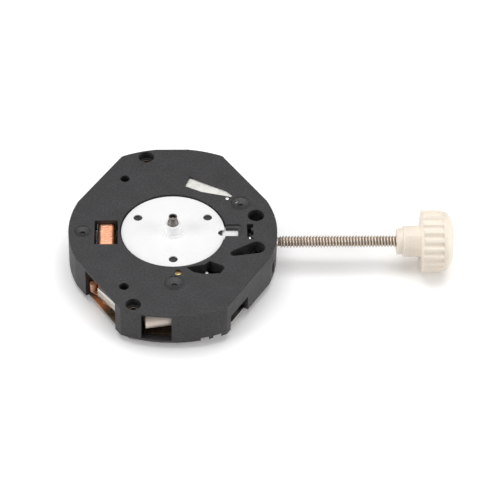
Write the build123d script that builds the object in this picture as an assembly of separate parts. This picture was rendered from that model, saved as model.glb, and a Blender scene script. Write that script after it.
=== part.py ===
from build123d import *

import math
import os

# Main plate outline, seen from the dial side
side_radius = 7.65
end_radius = 9.0
back_flat_depth = 0.08
flat_near_angle = 24.0
flat_far_angle = 65.04
corner_radius = 0.35
wall = 0.55

# Fits and small gaps
running_fit = 0.025
pivot_fit = 0.02
seat_gap = 0.05
cut_over = 0.5

# Hour wheel: a white disc with a pipe and a toothed ring under it
disc_radius = 3.79
disc_drop = 0.145
disc_thickness = 0.125
disc_gap = 0.11
disc_floor_gap = 0.03
disc_hole_radius = 0.33
disc_hole_centre_radius = 2.96
disc_hole_count = 3
disc_notch_angle = -3.0
disc_notch_centre_radius = 3.63
hour_hub_radius = 0.79
hour_hub_height = 0.07
hour_pipe_radius = 0.6
hour_pipe_rise = 0.65
hour_gear_thickness = 0.18

# Minute pipe, centre tube and seconds arbor, one inside the other
minute_seat_radius = 0.31
minute_seat_start = 0.86
minute_pipe_top = 1.32
minute_pipe_radius = 0.37
centre_tube_radius = 0.2
centre_tube_top = 1.0
second_arbor_radius = 0.09
second_arbor_top = 1.2

# Gearing
wheel_thickness = 0.12
motion_axis_gap = 1.9
minute_angle = -5.0
cannon_teeth = 12
minute_teeth = 36
minute_pinion_teeth = 10
hour_teeth = 40
setting_teeth = 16
rotor_axis_gap = 1.4
fifth_axis_gap = 1.68
third_axis_gap = 1.65
third_angle = -75.0
rotor_centre_length = 2.95
rotor_angle = 173.2
rotor_teeth = 8
fifth_teeth = 48
fifth_pinion_teeth = 8
second_teeth = 40
second_pinion_teeth = 8
third_teeth = 60
third_pinion_teeth = 8
centre_teeth = 64
tip_share = 0.9
root_share = 1.15
tooth_root_share = 0.29
tooth_tip_share = 0.13
web_share = 0.62

# Levels, counted down from the dial face
hour_gear_gap = 0.05
pocket_gap = 0.06
deck_web = 0.3
centre_wheel_gap = 0.1
wheel_gap = 0.15
bridge_gap = 0.25
bridge_thickness = 0.24
board_thickness = 0.15
cover_thickness = 0.15

# Arbors
arbor_radius = 0.1
pivot_radius = 0.06
pivot_length = 0.15
pinion_overhang = 0.04
post_radius = 0.15
hub_radius = 0.3

# Motor: coil, core, stator and rotor
coil_x = -4.88
coil_height = -1.35
coil_rise = 0.18
coil_half_width = 0.63
coil_half_height = 0.76
coil_round = 0.18
coil_half_length = 4.4
coil_gap = 0.06
core_width = 0.7
core_thickness = 0.4
core_tab_run = 0.6
core_strip_start = 1.2
core_strip_end = 3.6
core_strip_width = 0.4
core_strip_edge_gap = 0.35
core_strip_taper = 0.25
core_tab_width = 1.1
stator_thickness = 0.45
stator_arm_width = 0.8
stator_ring_radius = 1.1
stator_bore_radius = 0.72
stator_elbow_x = -3.45
stator_elbow_run = 0.2
stator_relief_radius = 0.45
magnet_radius = 0.62
magnet_gap = 0.03
jewel_radius = 0.25

# Battery, six point eight millimetres across
battery_x = 1.2
battery_y = 5.15
battery_radius = 3.4
battery_height = 2.6
battery_cap_radius = 2.7
battery_cap_height = 0.2
battery_drop = 0.42
battery_gap = 0.08
battery_round = 0.25
battery_ring_wall = 0.3
gasket_width = 0.18
gasket_height = 0.08

# Negative terminal under the long slot
terminal_drop = 0.18
terminal_thickness = 0.1
terminal_width = 1.9
terminal_arm_width = 0.5
terminal_end_x = 4.15
terminal_end_y = 3.85
terminal_elbow_x = -1.2
terminal_elbow_y = 5.2
terminal_leg_gap = 0.7
terminal_leg_angle = 202.2
terminal_leg_width = 0.36
terminal_dimple_radius = 0.45
terminal_rivet_x = 4.05
terminal_rivet_y = 3.36
terminal_rivet_radius = 0.13

# Stem and crown, on the X axis below the dial
stem_height = -1.27
stem_tip_x = 3.15
square_radius = 0.2
square_width = 0.3
collar_start_x = 5.86
groove_start_x = 6.0
groove_end_x = 6.2
collar_radius = 0.34
journal_radius = 0.42
thread_relief_run = 0.03
thread_start_run = 0.1
thread_radius = 0.45
thread_root_radius = 0.34
thread_pitch = 0.225
stem_end_run = 11.25
crown_start_run = 8.84
crown_ring_length = 0.46
crown_ring_radius = 0.97
crown_collar_length = 1.48
crown_collar_radius = 1.19
crown_drum_length = 1.38
crown_radius = 2.34
crown_flange_length = 0.4
crown_flange_radius = 2.2
crown_dome_length = 0.42
crown_dome_radius = 1.5
knurl_count = 22
knurl_radius = 0.2
knurl_angle = 5.9
crown_pull_length = 0.6

# White guard over the setting wheel
guard_left = 3.63
guard_right = 4.95
guard_front = -0.75
guard_back = 0.7
guard_thickness = 0.08
guard_gap = 0.03

# Keyless works
bearing_start_x = 3.95
bearing_length = 0.55
bearing_width = 0.84
bearing_depth = 0.72
clutch_tip_x = 4.98
clutch_tooth_length = 0.12
clutch_body_length = 0.7
clutch_radius = 0.52
clutch_bore_radius = 0.32
clutch_groove_radius = 0.36
clutch_groove_width = 0.22
clutch_groove_offset = 0.24
clutch_tooth_count = 10
clutch_side_gap = 0.1
clutch_top_gap = 0.07
lever_thickness = 0.14
lever_gap = 0.03
shoulder_radius = 0.3
yoke_pivot_y = 2.75
yoke_post_radius = 0.2
yoke_hub_radius = 0.45
yoke_arm_width = 0.34
yoke_finger_width = 0.13
yoke_finger_end_y = 0.4
yoke_waist_y = 0.75
setting_finger_width = 0.14
setting_finger_end_y = 0.25
setting_left_x = 4.3
setting_right_x = 6.2
setting_near_y = -0.7
setting_far_y = -2.5
setting_chamfer = 0.55
slot_post_one_x = 5.75
slot_post_one_y = -1.15
slot_post_two_x = 5.2
slot_post_two_y = -2.05
keyless_cover_drop = 1.85
keyless_cover_thickness = 0.12
keyless_edge_x = 4.4
keyless_side_y = 3.45
keyless_bridge_width = 0.9
keyless_screw_edge_gap = 0.82
keyless_screw_angle = 23.75
keyless_screw_low_edge_gap = 1.12
keyless_screw_low_angle = -27.35
stop_pivot_x = 3.3
stop_pivot_y = -2.55
stop_tip_x = 1.63
stop_tip_y = -0.6
stop_tail_x = 4.05
stop_tail_y = -2.3
stop_arm_width = 0.3
stop_tip_width = 0.16

# Screws and the brass nuts pressed into the plate
cover_nut_radius = 0.45
cover_pillar_radius = 0.66
nut_drop = 1.2
nut_wall_share = 0.6
cover_head_radius = 0.52
cover_head_height = 0.24
bridge_nut_radius = 0.27
bridge_pillar_radius = 0.48
bridge_screw_radius = 0.15
bridge_head_radius = 0.42
bridge_head_height = 0.12
coil_nut_radius = 0.3
coil_nut_drop = 0.64
coil_head_radius = 0.45
coil_head_height = 0.2
screw_slot_width = 0.12
screw_slot_depth = 0.08
screw_fit = 0.02
shown_nut_drop = 0.6
pin_nut_drop = 0.1

# Places of the pillars and holes
upper_pillar_edge_gap = 0.708
upper_pillar_battery_gap = 0.888
upper_hole_radius = 0.6
lower_pillar_edge_gap = 0.745
lower_pillar_angle = -110.34
lower_hole_radius = 0.565
front_pillar_edge_gap = 0.945
front_pillar_angle = -51.75
back_pillar_edge_gap = 0.75
back_pillar_battery_gap = 1.174
bridge_pillar_x = 2.35
bridge_pillar_y = 0.9
rotor_pillar_x = -2.0
rotor_pillar_y = -2.9
pin_pillar_x = 0.33
pin_pillar_y = -4.49
foot_hole_x = -3.54
foot_hole_back_y = 5.63
foot_hole_front_y = -5.91
foot_hole_radius = 0.36
foot_boss_radius = 0.62
foot_boss_drop = 1.6
round_hole_x = 6.13
round_hole_y = 1.51
round_hole_radius = 0.62
mark_step = 0.06
mark_depth = 0.2
mark_dimple_radius = 0.19
mark_dimple_depth = 0.33
side_mark_x = -6.59
side_mark_y = -0.12
side_mark_radius = 0.61
corner_mark_x = 5.03
corner_mark_y = 2.83
corner_mark_radius = 0.74
front_mark_x = 0.06
front_mark_y = -5.61
front_mark_radius = 0.74

# Windows in the face
coil_window_left = -5.74
coil_window_right = -4.03
coil_window_front = -1.5
coil_window_back = 1.04
yoke_slot_left = 5.43
yoke_slot_right = 5.9
yoke_slot_front = -1.02
yoke_slot_back = 0.6
yoke_slot_bump = 0.17
yoke_slot_bump_shares = (0.17, 0.66)
wheel_window_left = 3.6
wheel_window_right = 4.79
wheel_window_front = -0.7
wheel_window_back = 0.28
wheel_window_ledge = 0.26
wheel_window_ledge_depth = 0.12
wheel_window_round = 0.12
drop_slot_wide_x = 6.09
drop_slot_wide_y = -1.92
drop_slot_wide_radius = 0.62
drop_slot_narrow_x = 4.42
drop_slot_narrow_y = -2.53
drop_slot_narrow_radius = 0.28
long_slot_length = 3.65
long_slot_x = 0.91
long_slot_y = 4.78
long_slot_shares = ((0.112, 0.293), (0.0, 0.0), (0.34, -0.18), (0.657, -0.263), (0.937, -0.337))
long_slot_more_shares = ((0.995, -0.285), (0.844, -0.115), (0.479, 0.082))
corner_window_length = 2.8
corner_window_x = 0.92
corner_window_y = -3.97
corner_window_shares = ((0.0, 0.0), (0.486, 0.104), (0.61, 0.235), (0.964, 0.046))
corner_window_more_shares = ((1.0, -0.032), (0.875, -0.232), (0.454, -0.254), (0.196, -0.186))

# Openings in the side walls
left_opening_start = 0.1
left_opening_end = 4.15
left_opening_drop = 0.14
left_opening_depth = 0.85
crystal_window_left = -2.32
crystal_window_right = -0.16
crystal_window_drop = 0.14
crystal_window_bottom = 2.45
crystal_window_depth = 0.9
right_opening_start = 1.92
right_opening_end = 4.33
right_opening_drop = 1.32
stem_side_slot_angle = -17.0
stem_side_slot_width = 0.5
stem_side_slot_drop = 1.2
stem_side_slot_height = 1.1
front_nick_x = 1.92
front_nick_width = 0.58
front_nick_height = 0.25
front_nick_count = 2
front_nick_step = 0.9

# Crystal, chip and boards
crystal_out_x = 0.76
crystal_out_y = -0.21
crystal_yaw = 9.0
crystal_length = 5.0
crystal_radius = 0.72
crystal_height = -1.22
crystal_rim = 0.08
crystal_lead_radius = 0.09
crystal_lead_spacing = 0.5
crystal_lead_run = 0.45
crystal_lead_bend = 0.25
chip_x = 1.9
chip_edge_gap = 3.7
chip_size = 1.7
chip_height = 0.4
contact_pin_x = 2.42
contact_pin_edge_gap = 5.2
contact_pin_radius = 0.14
contact_pin_drop = 0.7
pin_round_share = 0.7
board_edge_y = -2.6
board_gap = 0.1
board_side_edge_gap = 0.22
board_tongue_x = -3.0
board_tongue_width = 0.9
lead_board_thickness = 0.1
lead_board_width = 1.2
lead_board_out_x = -0.17
lead_board_out_y = -0.1
lead_leg_out_x = 0.44
lead_leg_out_y = -0.6
lead_pad_out_x = 0.91
lead_pad_end_gap = 0.25
lead_pad_radius = 0.24
lead_pad_drop = 1.35
lead_leg_radius = 0.3

# Circuit cover and battery clamps
cover_inset = 0.3
cover_coil_width = 1.7
cover_coil_lap = 1.0
cover_side_window_depth = 0.75
cover_train_x = -0.7
cover_train_y = -0.6
cover_train_radius = 1.75
cover_gap = 0.06
clamp_thickness = 0.13
clamp_wall = 0.16
clamp_lip_width = 0.75
clamp_sweep = 34.0
clamp_angles = (198.0, 262.0, 335.0)
cover_tab_height = 0.18
cover_tab_thickness = 0.15
cover_tab_inset = 0.25
cover_mouth_width = 3.4
cover_foot_radius = 0.5
left_foot_x = -3.3
left_foot_edge_gap = 3.2
right_foot_x = 2.4
right_foot_edge_gap = 2.1


def polar(reach, angle):
    """A place at a distance and an angle in degrees from the hand axis"""
    turn = math.radians(angle)
    return (reach * math.cos(turn), reach * math.sin(turn))


def gap_between(one, two):
    return math.hypot(two[0] - one[0], two[1] - one[1])


def heading(one, two):
    """The direction in degrees from one place to another"""
    return math.degrees(math.atan2(two[1] - one[1], two[0] - one[0]))


def turned(place, angle):
    """A place seen from axes turned by an angle"""
    return polar(math.hypot(*place), math.degrees(math.atan2(place[1], place[0])) - angle)


def off_battery(reach, across, angle):
    """The place at a distance from the battery's middle and at a distance along a direction"""
    along, up = turned((battery_x, battery_y), angle)
    return turned((across, up - math.sqrt(reach**2 - (across - along) ** 2)), -angle)


def off_battery_and_edge(reach, edge):
    """The left place at one distance from the battery's middle and another from the hand axis"""
    away = math.hypot(battery_x, battery_y)
    along = (edge**2 + away**2 - reach**2) / (2 * away)
    turn = math.degrees(math.acos(along / edge))
    return polar(edge, heading((0, 0), (battery_x, battery_y)) + turn)


# The diagonal flats run between two corners of the outline
near_corner = polar(side_radius, flat_near_angle)
far_corner = polar(end_radius, flat_far_angle)
flat_angle = heading(near_corner, far_corner) - 90
flat_distance = turned(near_corner, flat_angle)[0]

# Places and levels that follow from the sizes above
cannon_module = 2 * motion_axis_gap / (cannon_teeth + minute_teeth)
hour_module = 2 * motion_axis_gap / (minute_pinion_teeth + hour_teeth)
rotor_module = 2 * rotor_axis_gap / (rotor_teeth + fifth_teeth)
fifth_module = 2 * fifth_axis_gap / (fifth_pinion_teeth + second_teeth)
second_module = 2 * third_axis_gap / (second_pinion_teeth + third_teeth)
third_module = 2 * third_axis_gap / (third_pinion_teeth + centre_teeth)

centre_place = (0, 0)
minute_place = polar(motion_axis_gap, minute_angle)
setting_axis_gap = cannon_module * (minute_teeth + setting_teeth) / 2
setting_x = minute_place[0] + math.sqrt(setting_axis_gap**2 - minute_place[1] ** 2)
setting_place = (setting_x, 0)
rotor_place = polar(rotor_centre_length, rotor_angle)
third_place = polar(third_axis_gap, third_angle)
fifth_along = (rotor_centre_length**2 + fifth_axis_gap**2 - rotor_axis_gap**2) / (2 * rotor_centre_length)
fifth_turn = math.degrees(math.acos(fifth_along / fifth_axis_gap))
fifth_place = polar(fifth_axis_gap, rotor_angle + fifth_turn)
battery_place = (battery_x, battery_y)
upper_pillar = off_battery_and_edge(
    battery_radius + upper_pillar_battery_gap, end_radius - upper_pillar_edge_gap
)
lower_pillar = polar(end_radius - lower_pillar_edge_gap, lower_pillar_angle)
front_pillar = polar(flat_distance - front_pillar_edge_gap, front_pillar_angle)
back_pillar = off_battery(
    battery_radius + back_pillar_battery_gap, flat_distance - back_pillar_edge_gap, flat_angle
)
cover_pillars = (upper_pillar, lower_pillar, front_pillar, back_pillar)
cover_feet = (
    (left_foot_x, left_foot_edge_gap - end_radius),
    (right_foot_x, right_foot_edge_gap - end_radius),
)
pin_pillar = (pin_pillar_x, pin_pillar_y)
bridge_pillars = (
    (bridge_pillar_x, bridge_pillar_y),
    (rotor_pillar_x, rotor_pillar_y),
    pin_pillar,
)
foot_holes = ((foot_hole_x, foot_hole_back_y), (foot_hole_x, foot_hole_front_y))
core_tab_y = coil_half_length + core_tab_run
core_tab_edge = flat_distance - wall - seat_gap - core_tab_width / 2
flat_turn = math.radians(flat_angle)
core_tab_x = (core_tab_y * math.sin(flat_turn) - core_tab_edge) / math.cos(flat_turn)
core_tabs = ((core_tab_x, core_tab_y), (core_tab_x, -core_tab_y))
stator_elbow_y = coil_half_length + stator_elbow_run
stator_elbows = ((stator_elbow_x, stator_elbow_y), (stator_elbow_x, -stator_elbow_y))
cover_coil_half_length = coil_half_length - cover_coil_lap
lead_board_place = (core_tab_x + lead_board_out_x, lead_board_out_y - core_tab_y)
lead_leg_place = (core_tab_x + lead_leg_out_x, lead_leg_out_y - core_tab_y)
lead_pad_place = (coil_x - lead_pad_out_x, lead_pad_end_gap - coil_half_length)
contact_pin_place = (contact_pin_x, contact_pin_edge_gap - end_radius)
leg_across, leg_along = polar(battery_radius + terminal_leg_gap, terminal_leg_angle)
terminal_leg = (battery_x + leg_across, battery_y + leg_along)
crystal_start = (lower_pillar[0] + crystal_out_x, lower_pillar[1] + crystal_out_y)
chip_y = chip_edge_gap - end_radius
thread_relief_x = side_radius + thread_relief_run
thread_start_x = side_radius + thread_start_run
crown_start_x = side_radius + crown_start_run
stem_end_x = side_radius + stem_end_run
back_flat = end_radius - back_flat_depth
stop_pivot = (stop_pivot_x, stop_pivot_y)
slot_posts = ((slot_post_one_x, slot_post_one_y), (slot_post_two_x, slot_post_two_y))
keyless_screw_places = (
    polar(side_radius - keyless_screw_edge_gap, keyless_screw_angle),
    polar(side_radius - keyless_screw_low_edge_gap, keyless_screw_low_angle),
)
clutch_end_x = clutch_tip_x + clutch_tooth_length + clutch_body_length
clutch_groove_x = clutch_tip_x + clutch_tooth_length + clutch_groove_offset
yoke_place = (clutch_groove_x + clutch_groove_width / 2, yoke_pivot_y)

disc_top = -disc_drop
disc_bottom = disc_top - disc_thickness
recess_floor = disc_bottom - disc_floor_gap
hour_gear_bottom = disc_bottom - hour_gear_thickness
minute_wheel_top = hour_gear_bottom - hour_gear_gap
minute_wheel_bottom = minute_wheel_top - wheel_thickness
pocket_floor = minute_wheel_bottom - pocket_gap
deck_bottom = pocket_floor - deck_web
centre_wheel_top = deck_bottom - centre_wheel_gap
centre_wheel_bottom = centre_wheel_top - wheel_thickness
fifth_wheel_top = centre_wheel_bottom - wheel_gap
fifth_wheel_bottom = fifth_wheel_top - wheel_thickness
third_wheel_top = fifth_wheel_bottom - wheel_gap
third_wheel_bottom = third_wheel_top - wheel_thickness
second_wheel_top = third_wheel_bottom - wheel_gap
second_wheel_bottom = second_wheel_top - wheel_thickness
bridge_top = second_wheel_bottom - bridge_gap
bridge_bottom = bridge_top - bridge_thickness
rim_bottom = bridge_bottom - board_thickness
cover_bottom = rim_bottom - cover_thickness
core_top = coil_height + core_thickness / 2
core_bottom = coil_height - core_thickness / 2
stator_bottom = core_bottom - stator_thickness
setting_top = minute_wheel_top
guard_top = setting_top + guard_gap + guard_thickness
setting_bottom = stem_height + clutch_bore_radius + (clutch_radius - clutch_bore_radius) / 2
lever_top = stem_height + lever_thickness / 2
lever_bottom = stem_height - lever_thickness / 2
keyless_top = -keyless_cover_drop
keyless_bottom = keyless_top - keyless_cover_thickness
battery_top = -battery_drop
battery_bottom = battery_top - battery_height
battery_shoulder = battery_top - battery_cap_height
well_radius = battery_radius + battery_gap
well_cap_radius = battery_cap_radius + battery_gap
cap_ceiling = battery_top + seat_gap
well_ceiling = battery_shoulder + seat_gap
terminal_top = -terminal_drop
terminal_bottom = terminal_top - terminal_thickness


def block(left, right, front, back, bottom, top):
    """A box between two corners"""
    middle = ((left + right) / 2, (front + back) / 2, (bottom + top) / 2)
    return Pos(*middle) * Box(right - left, back - front, top - bottom)


def slab(face, top, bottom):
    """A flat outline made solid between two levels"""
    return Pos(0, 0, bottom) * extrude(face, top - bottom)


def disc(radius, top, bottom, place=centre_place):
    return Pos(place[0], place[1], bottom) * extrude(Circle(radius), top - bottom)


def ring(radius, bore, top, bottom, place=centre_place):
    return disc(radius, top, bottom, place) - disc(bore, top, bottom, place)


def rod(radius, start, end, height=stem_height):
    """A round bar along X"""
    return Pos(start, 0, height) * Rot(0, 90, 0) * extrude(Circle(radius), end - start)


def bar(start, end, width):
    """A flat strip with round ends from one place to another"""
    middle = Pos((start[0] + end[0]) / 2, (start[1] + end[1]) / 2)
    return middle * Rot(0, 0, heading(start, end)) * SlotCenterToCenter(gap_between(start, end), width)


def dot(place, radius):
    return Pos(place[0], place[1]) * Circle(radius)


def joined(pieces):
    """One face or solid from several that overlap"""
    whole = pieces[0]
    for piece in pieces[1:]:
        whole = whole + piece
    return whole


def shape(shares, length, x, y):
    """A straight-sided outline whose points are shares of a length"""
    points = [(x + across * length, y + along * length) for across, along in shares]
    return make_face(Polyline(*points, close=True))


def outline(inset=0):
    """The plate's outline, drawn in by an inset"""
    side = side_radius - inset
    end = end_radius - inset
    flat = flat_distance - inset
    near = flat_angle + math.copysign(math.degrees(math.acos(flat / side)), flat_near_angle - flat_angle)
    far = flat_angle + math.degrees(math.acos(flat / end))
    edges = [
        ThreePointArc(polar(side, -near), (side, 0), polar(side, near)),
        Line(polar(side, near), polar(end, far)),
        ThreePointArc(polar(end, far), (0, end), polar(end, 180 - far)),
        Line(polar(end, 180 - far), polar(side, 180 - near)),
        ThreePointArc(polar(side, 180 - near), (-side, 0), polar(side, 180 + near)),
        Line(polar(side, 180 + near), polar(end, 180 + far)),
        ThreePointArc(polar(end, 180 + far), (0, -end), polar(end, -far)),
        Line(polar(end, -far), polar(side, -near)),
    ]
    face = make_face(edges)
    corners = [corner for corner in face.vertices() if abs(corner.Y) > abs(corner.X)]
    face = fillet(corners, corner_radius)
    top = back_flat - inset
    return face - Pos(0, top + end_radius / 2) * Rectangle(2 * end_radius, end_radius)


def gear_face(teeth, module, phase):
    """Teeth with straight flanks, one tooth centred on the phase angle"""
    pitch = teeth * module / 2
    tip = pitch + module * tip_share
    root = pitch - module * root_share
    step = 360 / teeth
    corners = (
        (root, -tooth_root_share),
        (tip, -tooth_tip_share),
        (tip, tooth_tip_share),
        (root, tooth_root_share),
    )
    points = []
    for tooth in range(teeth):
        for radius, share in corners:
            points.append(polar(radius, phase + (tooth + share) * step))
    return make_face(Polyline(*points, close=True))


def gear(teeth, module, top, bottom, place, phase):
    return Pos(place[0], place[1], bottom) * extrude(gear_face(teeth, module, phase), top - bottom)


def meshed(direction, phase, teeth, other_teeth):
    """The phase that puts another gear, lying in a direction, in mesh with this one"""
    return direction + 180 + 180 / other_teeth + (direction - phase) * teeth / other_teeth


def root_radius(teeth, module):
    return teeth * module / 2 - module * root_share


def tip_radius(teeth, module):
    return teeth * module / 2 + module * tip_share


def spoked_wheel(teeth, module, top, place, phase, bore):
    """A toothed wheel with round lightening holes and a bore"""
    bottom = top - wheel_thickness
    wheel = gear(teeth, module, top, bottom, place, phase)
    root = root_radius(teeth, module)
    inner = bore + (root - bore) / 4
    outer = root - (root - bore) / 5
    reach = (inner + outer) / 2
    radius = (outer - inner) / 2 * web_share
    for number in range(5):
        across, along = polar(reach, phase + 72 * number)
        hole = (place[0] + across, place[1] + along)
        wheel -= disc(radius, top, bottom, hole)
    return wheel - disc(bore, top, bottom, place)


def arbor(place, top, bottom, radius=arbor_radius):
    """A turned pin with a thinner pivot at each end"""
    body = disc(radius, top, bottom, place)
    body += disc(pivot_radius, top + pivot_length, top, place)
    return body + disc(pivot_radius, bottom, bottom - pivot_length, place)


def slotted_screw(place, seat, head_radius, head_height, shank_radius, shank_end):
    """A cheese-head screw standing on its head below the seat"""
    low = seat - head_height
    screw = disc(head_radius, seat, low, place) + disc(shank_radius, shank_end, seat, place)
    slot = Box(2 * head_radius, screw_slot_width, 2 * screw_slot_depth)
    return screw - Pos(place[0], place[1], low) * Rot(0, 0, flat_angle) * slot


def flat_box(side_angle, start, end, near, far, bottom, top):
    """A box along one of the diagonal flats, from near to far off the hand axis"""
    sign = 1 if math.sin(math.radians(side_angle)) * math.cos(math.radians(side_angle)) > 0 else -1
    middle = (start + end) / 2 * sign
    body = Pos((near + far) / 2, middle, (bottom + top) / 2) * Box(far - near, end - start, top - bottom)
    return Rot(0, 0, side_angle) * body


def crystal_axis(along, across=0):
    """A place measured along and across the crystal's length"""
    turn = math.radians(crystal_yaw)
    x = crystal_start[0] + along * math.cos(turn) - across * math.sin(turn)
    y = crystal_start[1] + along * math.sin(turn) + across * math.cos(turn)
    return (x, y)


# Phases of the gears that mesh
setting_phase = 0
minute_phase = meshed(heading(setting_place, minute_place), setting_phase, setting_teeth, minute_teeth)
minute_heading = heading(minute_place, centre_place)
cannon_phase = meshed(minute_heading, minute_phase, minute_teeth, cannon_teeth)
hour_phase = meshed(minute_heading, minute_heading, minute_pinion_teeth, hour_teeth)
rotor_heading = heading(rotor_place, fifth_place)
fifth_phase = meshed(rotor_heading, rotor_heading, rotor_teeth, fifth_teeth)
fifth_heading = heading(fifth_place, centre_place)
second_phase = meshed(fifth_heading, fifth_heading, fifth_pinion_teeth, second_teeth)
third_phase = meshed(third_angle, third_angle, second_pinion_teeth, third_teeth)
third_heading = heading(third_place, centre_place)
centre_phase = meshed(third_heading, third_heading, third_pinion_teeth, centre_teeth)


def terminal_arm(width):
    """The strip from the terminal's pad to its leg beside the battery"""
    elbow = (terminal_elbow_x, terminal_elbow_y)
    return bar(battery_place, elbow, width) + bar(elbow, terminal_leg, width)


def terminal_pad(width):
    return bar(battery_place, (terminal_end_x, terminal_end_y), width)


def stator_face():
    """Two arms from the core's tabs to the ring round the rotor"""
    pieces = [dot(rotor_place, stator_ring_radius)]
    for tab, elbow in zip(core_tabs, stator_elbows):
        pieces.append(bar(rotor_place, elbow, stator_arm_width))
        pieces.append(bar(elbow, tab, stator_arm_width))
        pieces.append(dot(tab, core_tab_width / 2))
    face = joined(pieces) - dot(rotor_place, stator_bore_radius)
    return face - dot(fifth_place, stator_relief_radius)


def motor_room():
    """The core's and the stator's outline with clear space round it, inside the plate's wall"""
    room = 2 * seat_gap
    pieces = []
    for tab, elbow in zip(core_tabs, stator_elbows):
        shoulder = (coil_x, math.copysign(coil_half_length, tab[1]))
        pieces.append(bar(elbow, tab, stator_arm_width + room))
        pieces.append(bar(shoulder, tab, core_width + room))
        pieces.append(dot(tab, (core_tab_width + room) / 2))
    return joined(pieces)


def plate_supports():
    """Pillars, posts, walls and bearings that hang from the plate's deck"""
    pieces = [ring(well_radius + battery_ring_wall, well_radius, deck_bottom, rim_bottom, battery_place)]
    for place in cover_pillars:
        pieces.append(disc(cover_pillar_radius, deck_bottom, rim_bottom, place))
    for place in bridge_pillars:
        pieces.append(disc(bridge_pillar_radius, deck_bottom, bridge_top, place))
    for place in foot_holes:
        pieces.append(disc(foot_boss_radius, deck_bottom, -foot_boss_drop, place))
    for place in core_tabs:
        pieces.append(disc(core_tab_width / 2, deck_bottom, core_top, place))
    for place in keyless_screw_places:
        pieces.append(disc(shoulder_radius, deck_bottom, keyless_top, place))
    for place in slot_posts:
        pieces.append(disc(shoulder_radius, deck_bottom, lever_top + lever_gap, place))
        pieces.append(disc(post_radius, deck_bottom, keyless_top, place))
    pieces.append(disc(shoulder_radius, deck_bottom, lever_top + lever_gap, yoke_place))
    pieces.append(disc(yoke_post_radius, deck_bottom, keyless_top, yoke_place))
    pieces.append(disc(shoulder_radius, deck_bottom, second_wheel_top + lever_gap, stop_pivot))
    pieces.append(disc(post_radius, deck_bottom, bridge_top, stop_pivot))
    bearing_end = bearing_start_x + bearing_length
    half = bearing_width / 2
    bearing_floor = setting_bottom - seat_gap - bearing_depth
    pieces.append(block(bearing_start_x, bearing_end, -half, half, bearing_floor, deck_bottom))
    return [piece & slab(outline(), 0, rim_bottom) for piece in pieces]


def motion_pockets():
    """Room for the hour disc, the motion work and the setting wheel"""
    hour_room = tip_radius(hour_teeth, hour_module) + seat_gap
    minute_room = tip_radius(minute_teeth, cannon_module) + pocket_gap
    setting_room = tip_radius(setting_teeth, cannon_module) + pocket_gap
    guard_floor = setting_top + seat_gap
    pocket = disc(disc_radius + disc_gap, cut_over, recess_floor)
    pocket += disc(hour_room, 0, pocket_floor)
    pocket += disc(minute_room, recess_floor, pocket_floor, minute_place)
    pocket += disc(setting_room, guard_floor, setting_bottom - seat_gap, setting_place)
    pocket += block(
        guard_left - seat_gap, guard_right + seat_gap, guard_front - seat_gap, guard_back + seat_gap,
        guard_floor, guard_top,
    )
    open_end = disc_radius + disc_gap
    pocket += block(
        guard_left - seat_gap, open_end, guard_front - seat_gap, guard_back + seat_gap,
        guard_top, recess_floor,
    ) & disc(open_end, recess_floor, guard_top)
    return pocket + disc(minute_pipe_radius + running_fit, 0, deck_bottom - cut_over)


def battery_well():
    """The battery's round well, with the terminal's groove above it"""
    well = disc(well_radius, well_ceiling, rim_bottom - cut_over, battery_place)
    well += disc(well_cap_radius, cap_ceiling, rim_bottom, battery_place)
    groove = terminal_pad(terminal_width + 2 * seat_gap) + terminal_arm(terminal_arm_width + 2 * seat_gap)
    well += slab(groove, terminal_top + disc_floor_gap, deck_bottom - seat_gap)
    return well


def keyless_cuts():
    """Room in the deck for the clutch and the stem, and their bores"""
    clutch_side = clutch_radius + clutch_side_gap
    clutch_roof = stem_height + clutch_radius + clutch_top_gap
    bearing_end = bearing_start_x + bearing_length
    inner_wall = side_radius - wall
    cuts = block(bearing_end, collar_start_x + seat_gap, -clutch_side, clutch_side, deck_bottom, clutch_roof)
    stem_side = journal_radius + clutch_side_gap
    stem_roof = stem_height + journal_radius + seat_gap
    cuts += block(collar_start_x, inner_wall, -stem_side, stem_side, deck_bottom, stem_roof)
    cuts += rod(square_radius + pivot_fit, bearing_start_x - cut_over, bearing_end)
    return cuts + rod(journal_radius + pivot_fit, inner_wall - wall, side_radius + cut_over)


def face_windows():
    """Windows and slots that go through the face"""
    cuts = block(
        coil_window_left, coil_window_right, coil_window_front, coil_window_back, deck_bottom, cut_over
    )
    yoke_slot = block(
        yoke_slot_left, yoke_slot_right, yoke_slot_front, yoke_slot_back, deck_bottom, cut_over
    )
    for share in yoke_slot_bump_shares:
        bump_y = yoke_slot_front + (yoke_slot_back - yoke_slot_front) * share
        yoke_slot -= disc(yoke_slot_bump, cut_over, deck_bottom, (yoke_slot_right, bump_y))
    cuts += yoke_slot
    middle = ((wheel_window_left + wheel_window_right) / 2, (wheel_window_front + wheel_window_back) / 2)
    width = wheel_window_right - wheel_window_left
    height = wheel_window_back - wheel_window_front
    window = Pos(*middle) * RectangleRounded(width, height, wheel_window_round)
    cuts += slab(window, cut_over, setting_top)
    rim = wheel_window_ledge
    ledge = Pos(middle[0], middle[1] + rim / 2) * RectangleRounded(width + 2 * rim, height + rim, rim)
    cuts += slab(ledge, cut_over, -wheel_window_ledge_depth)
    wide = dot((drop_slot_wide_x, drop_slot_wide_y), drop_slot_wide_radius)
    narrow = dot((drop_slot_narrow_x, drop_slot_narrow_y), drop_slot_narrow_radius)
    cuts += slab(make_hull(wide.edges() + narrow.edges()), cut_over, deck_bottom)
    shares = corner_window_shares + corner_window_more_shares
    corner = shape(shares, corner_window_length, corner_window_x, corner_window_y)
    cuts += slab(corner, cut_over, deck_bottom)
    shares = long_slot_shares + long_slot_more_shares
    long_slot = shape(shares, long_slot_length, long_slot_x, long_slot_y)
    return cuts + slab(long_slot, cut_over, terminal_top)


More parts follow.
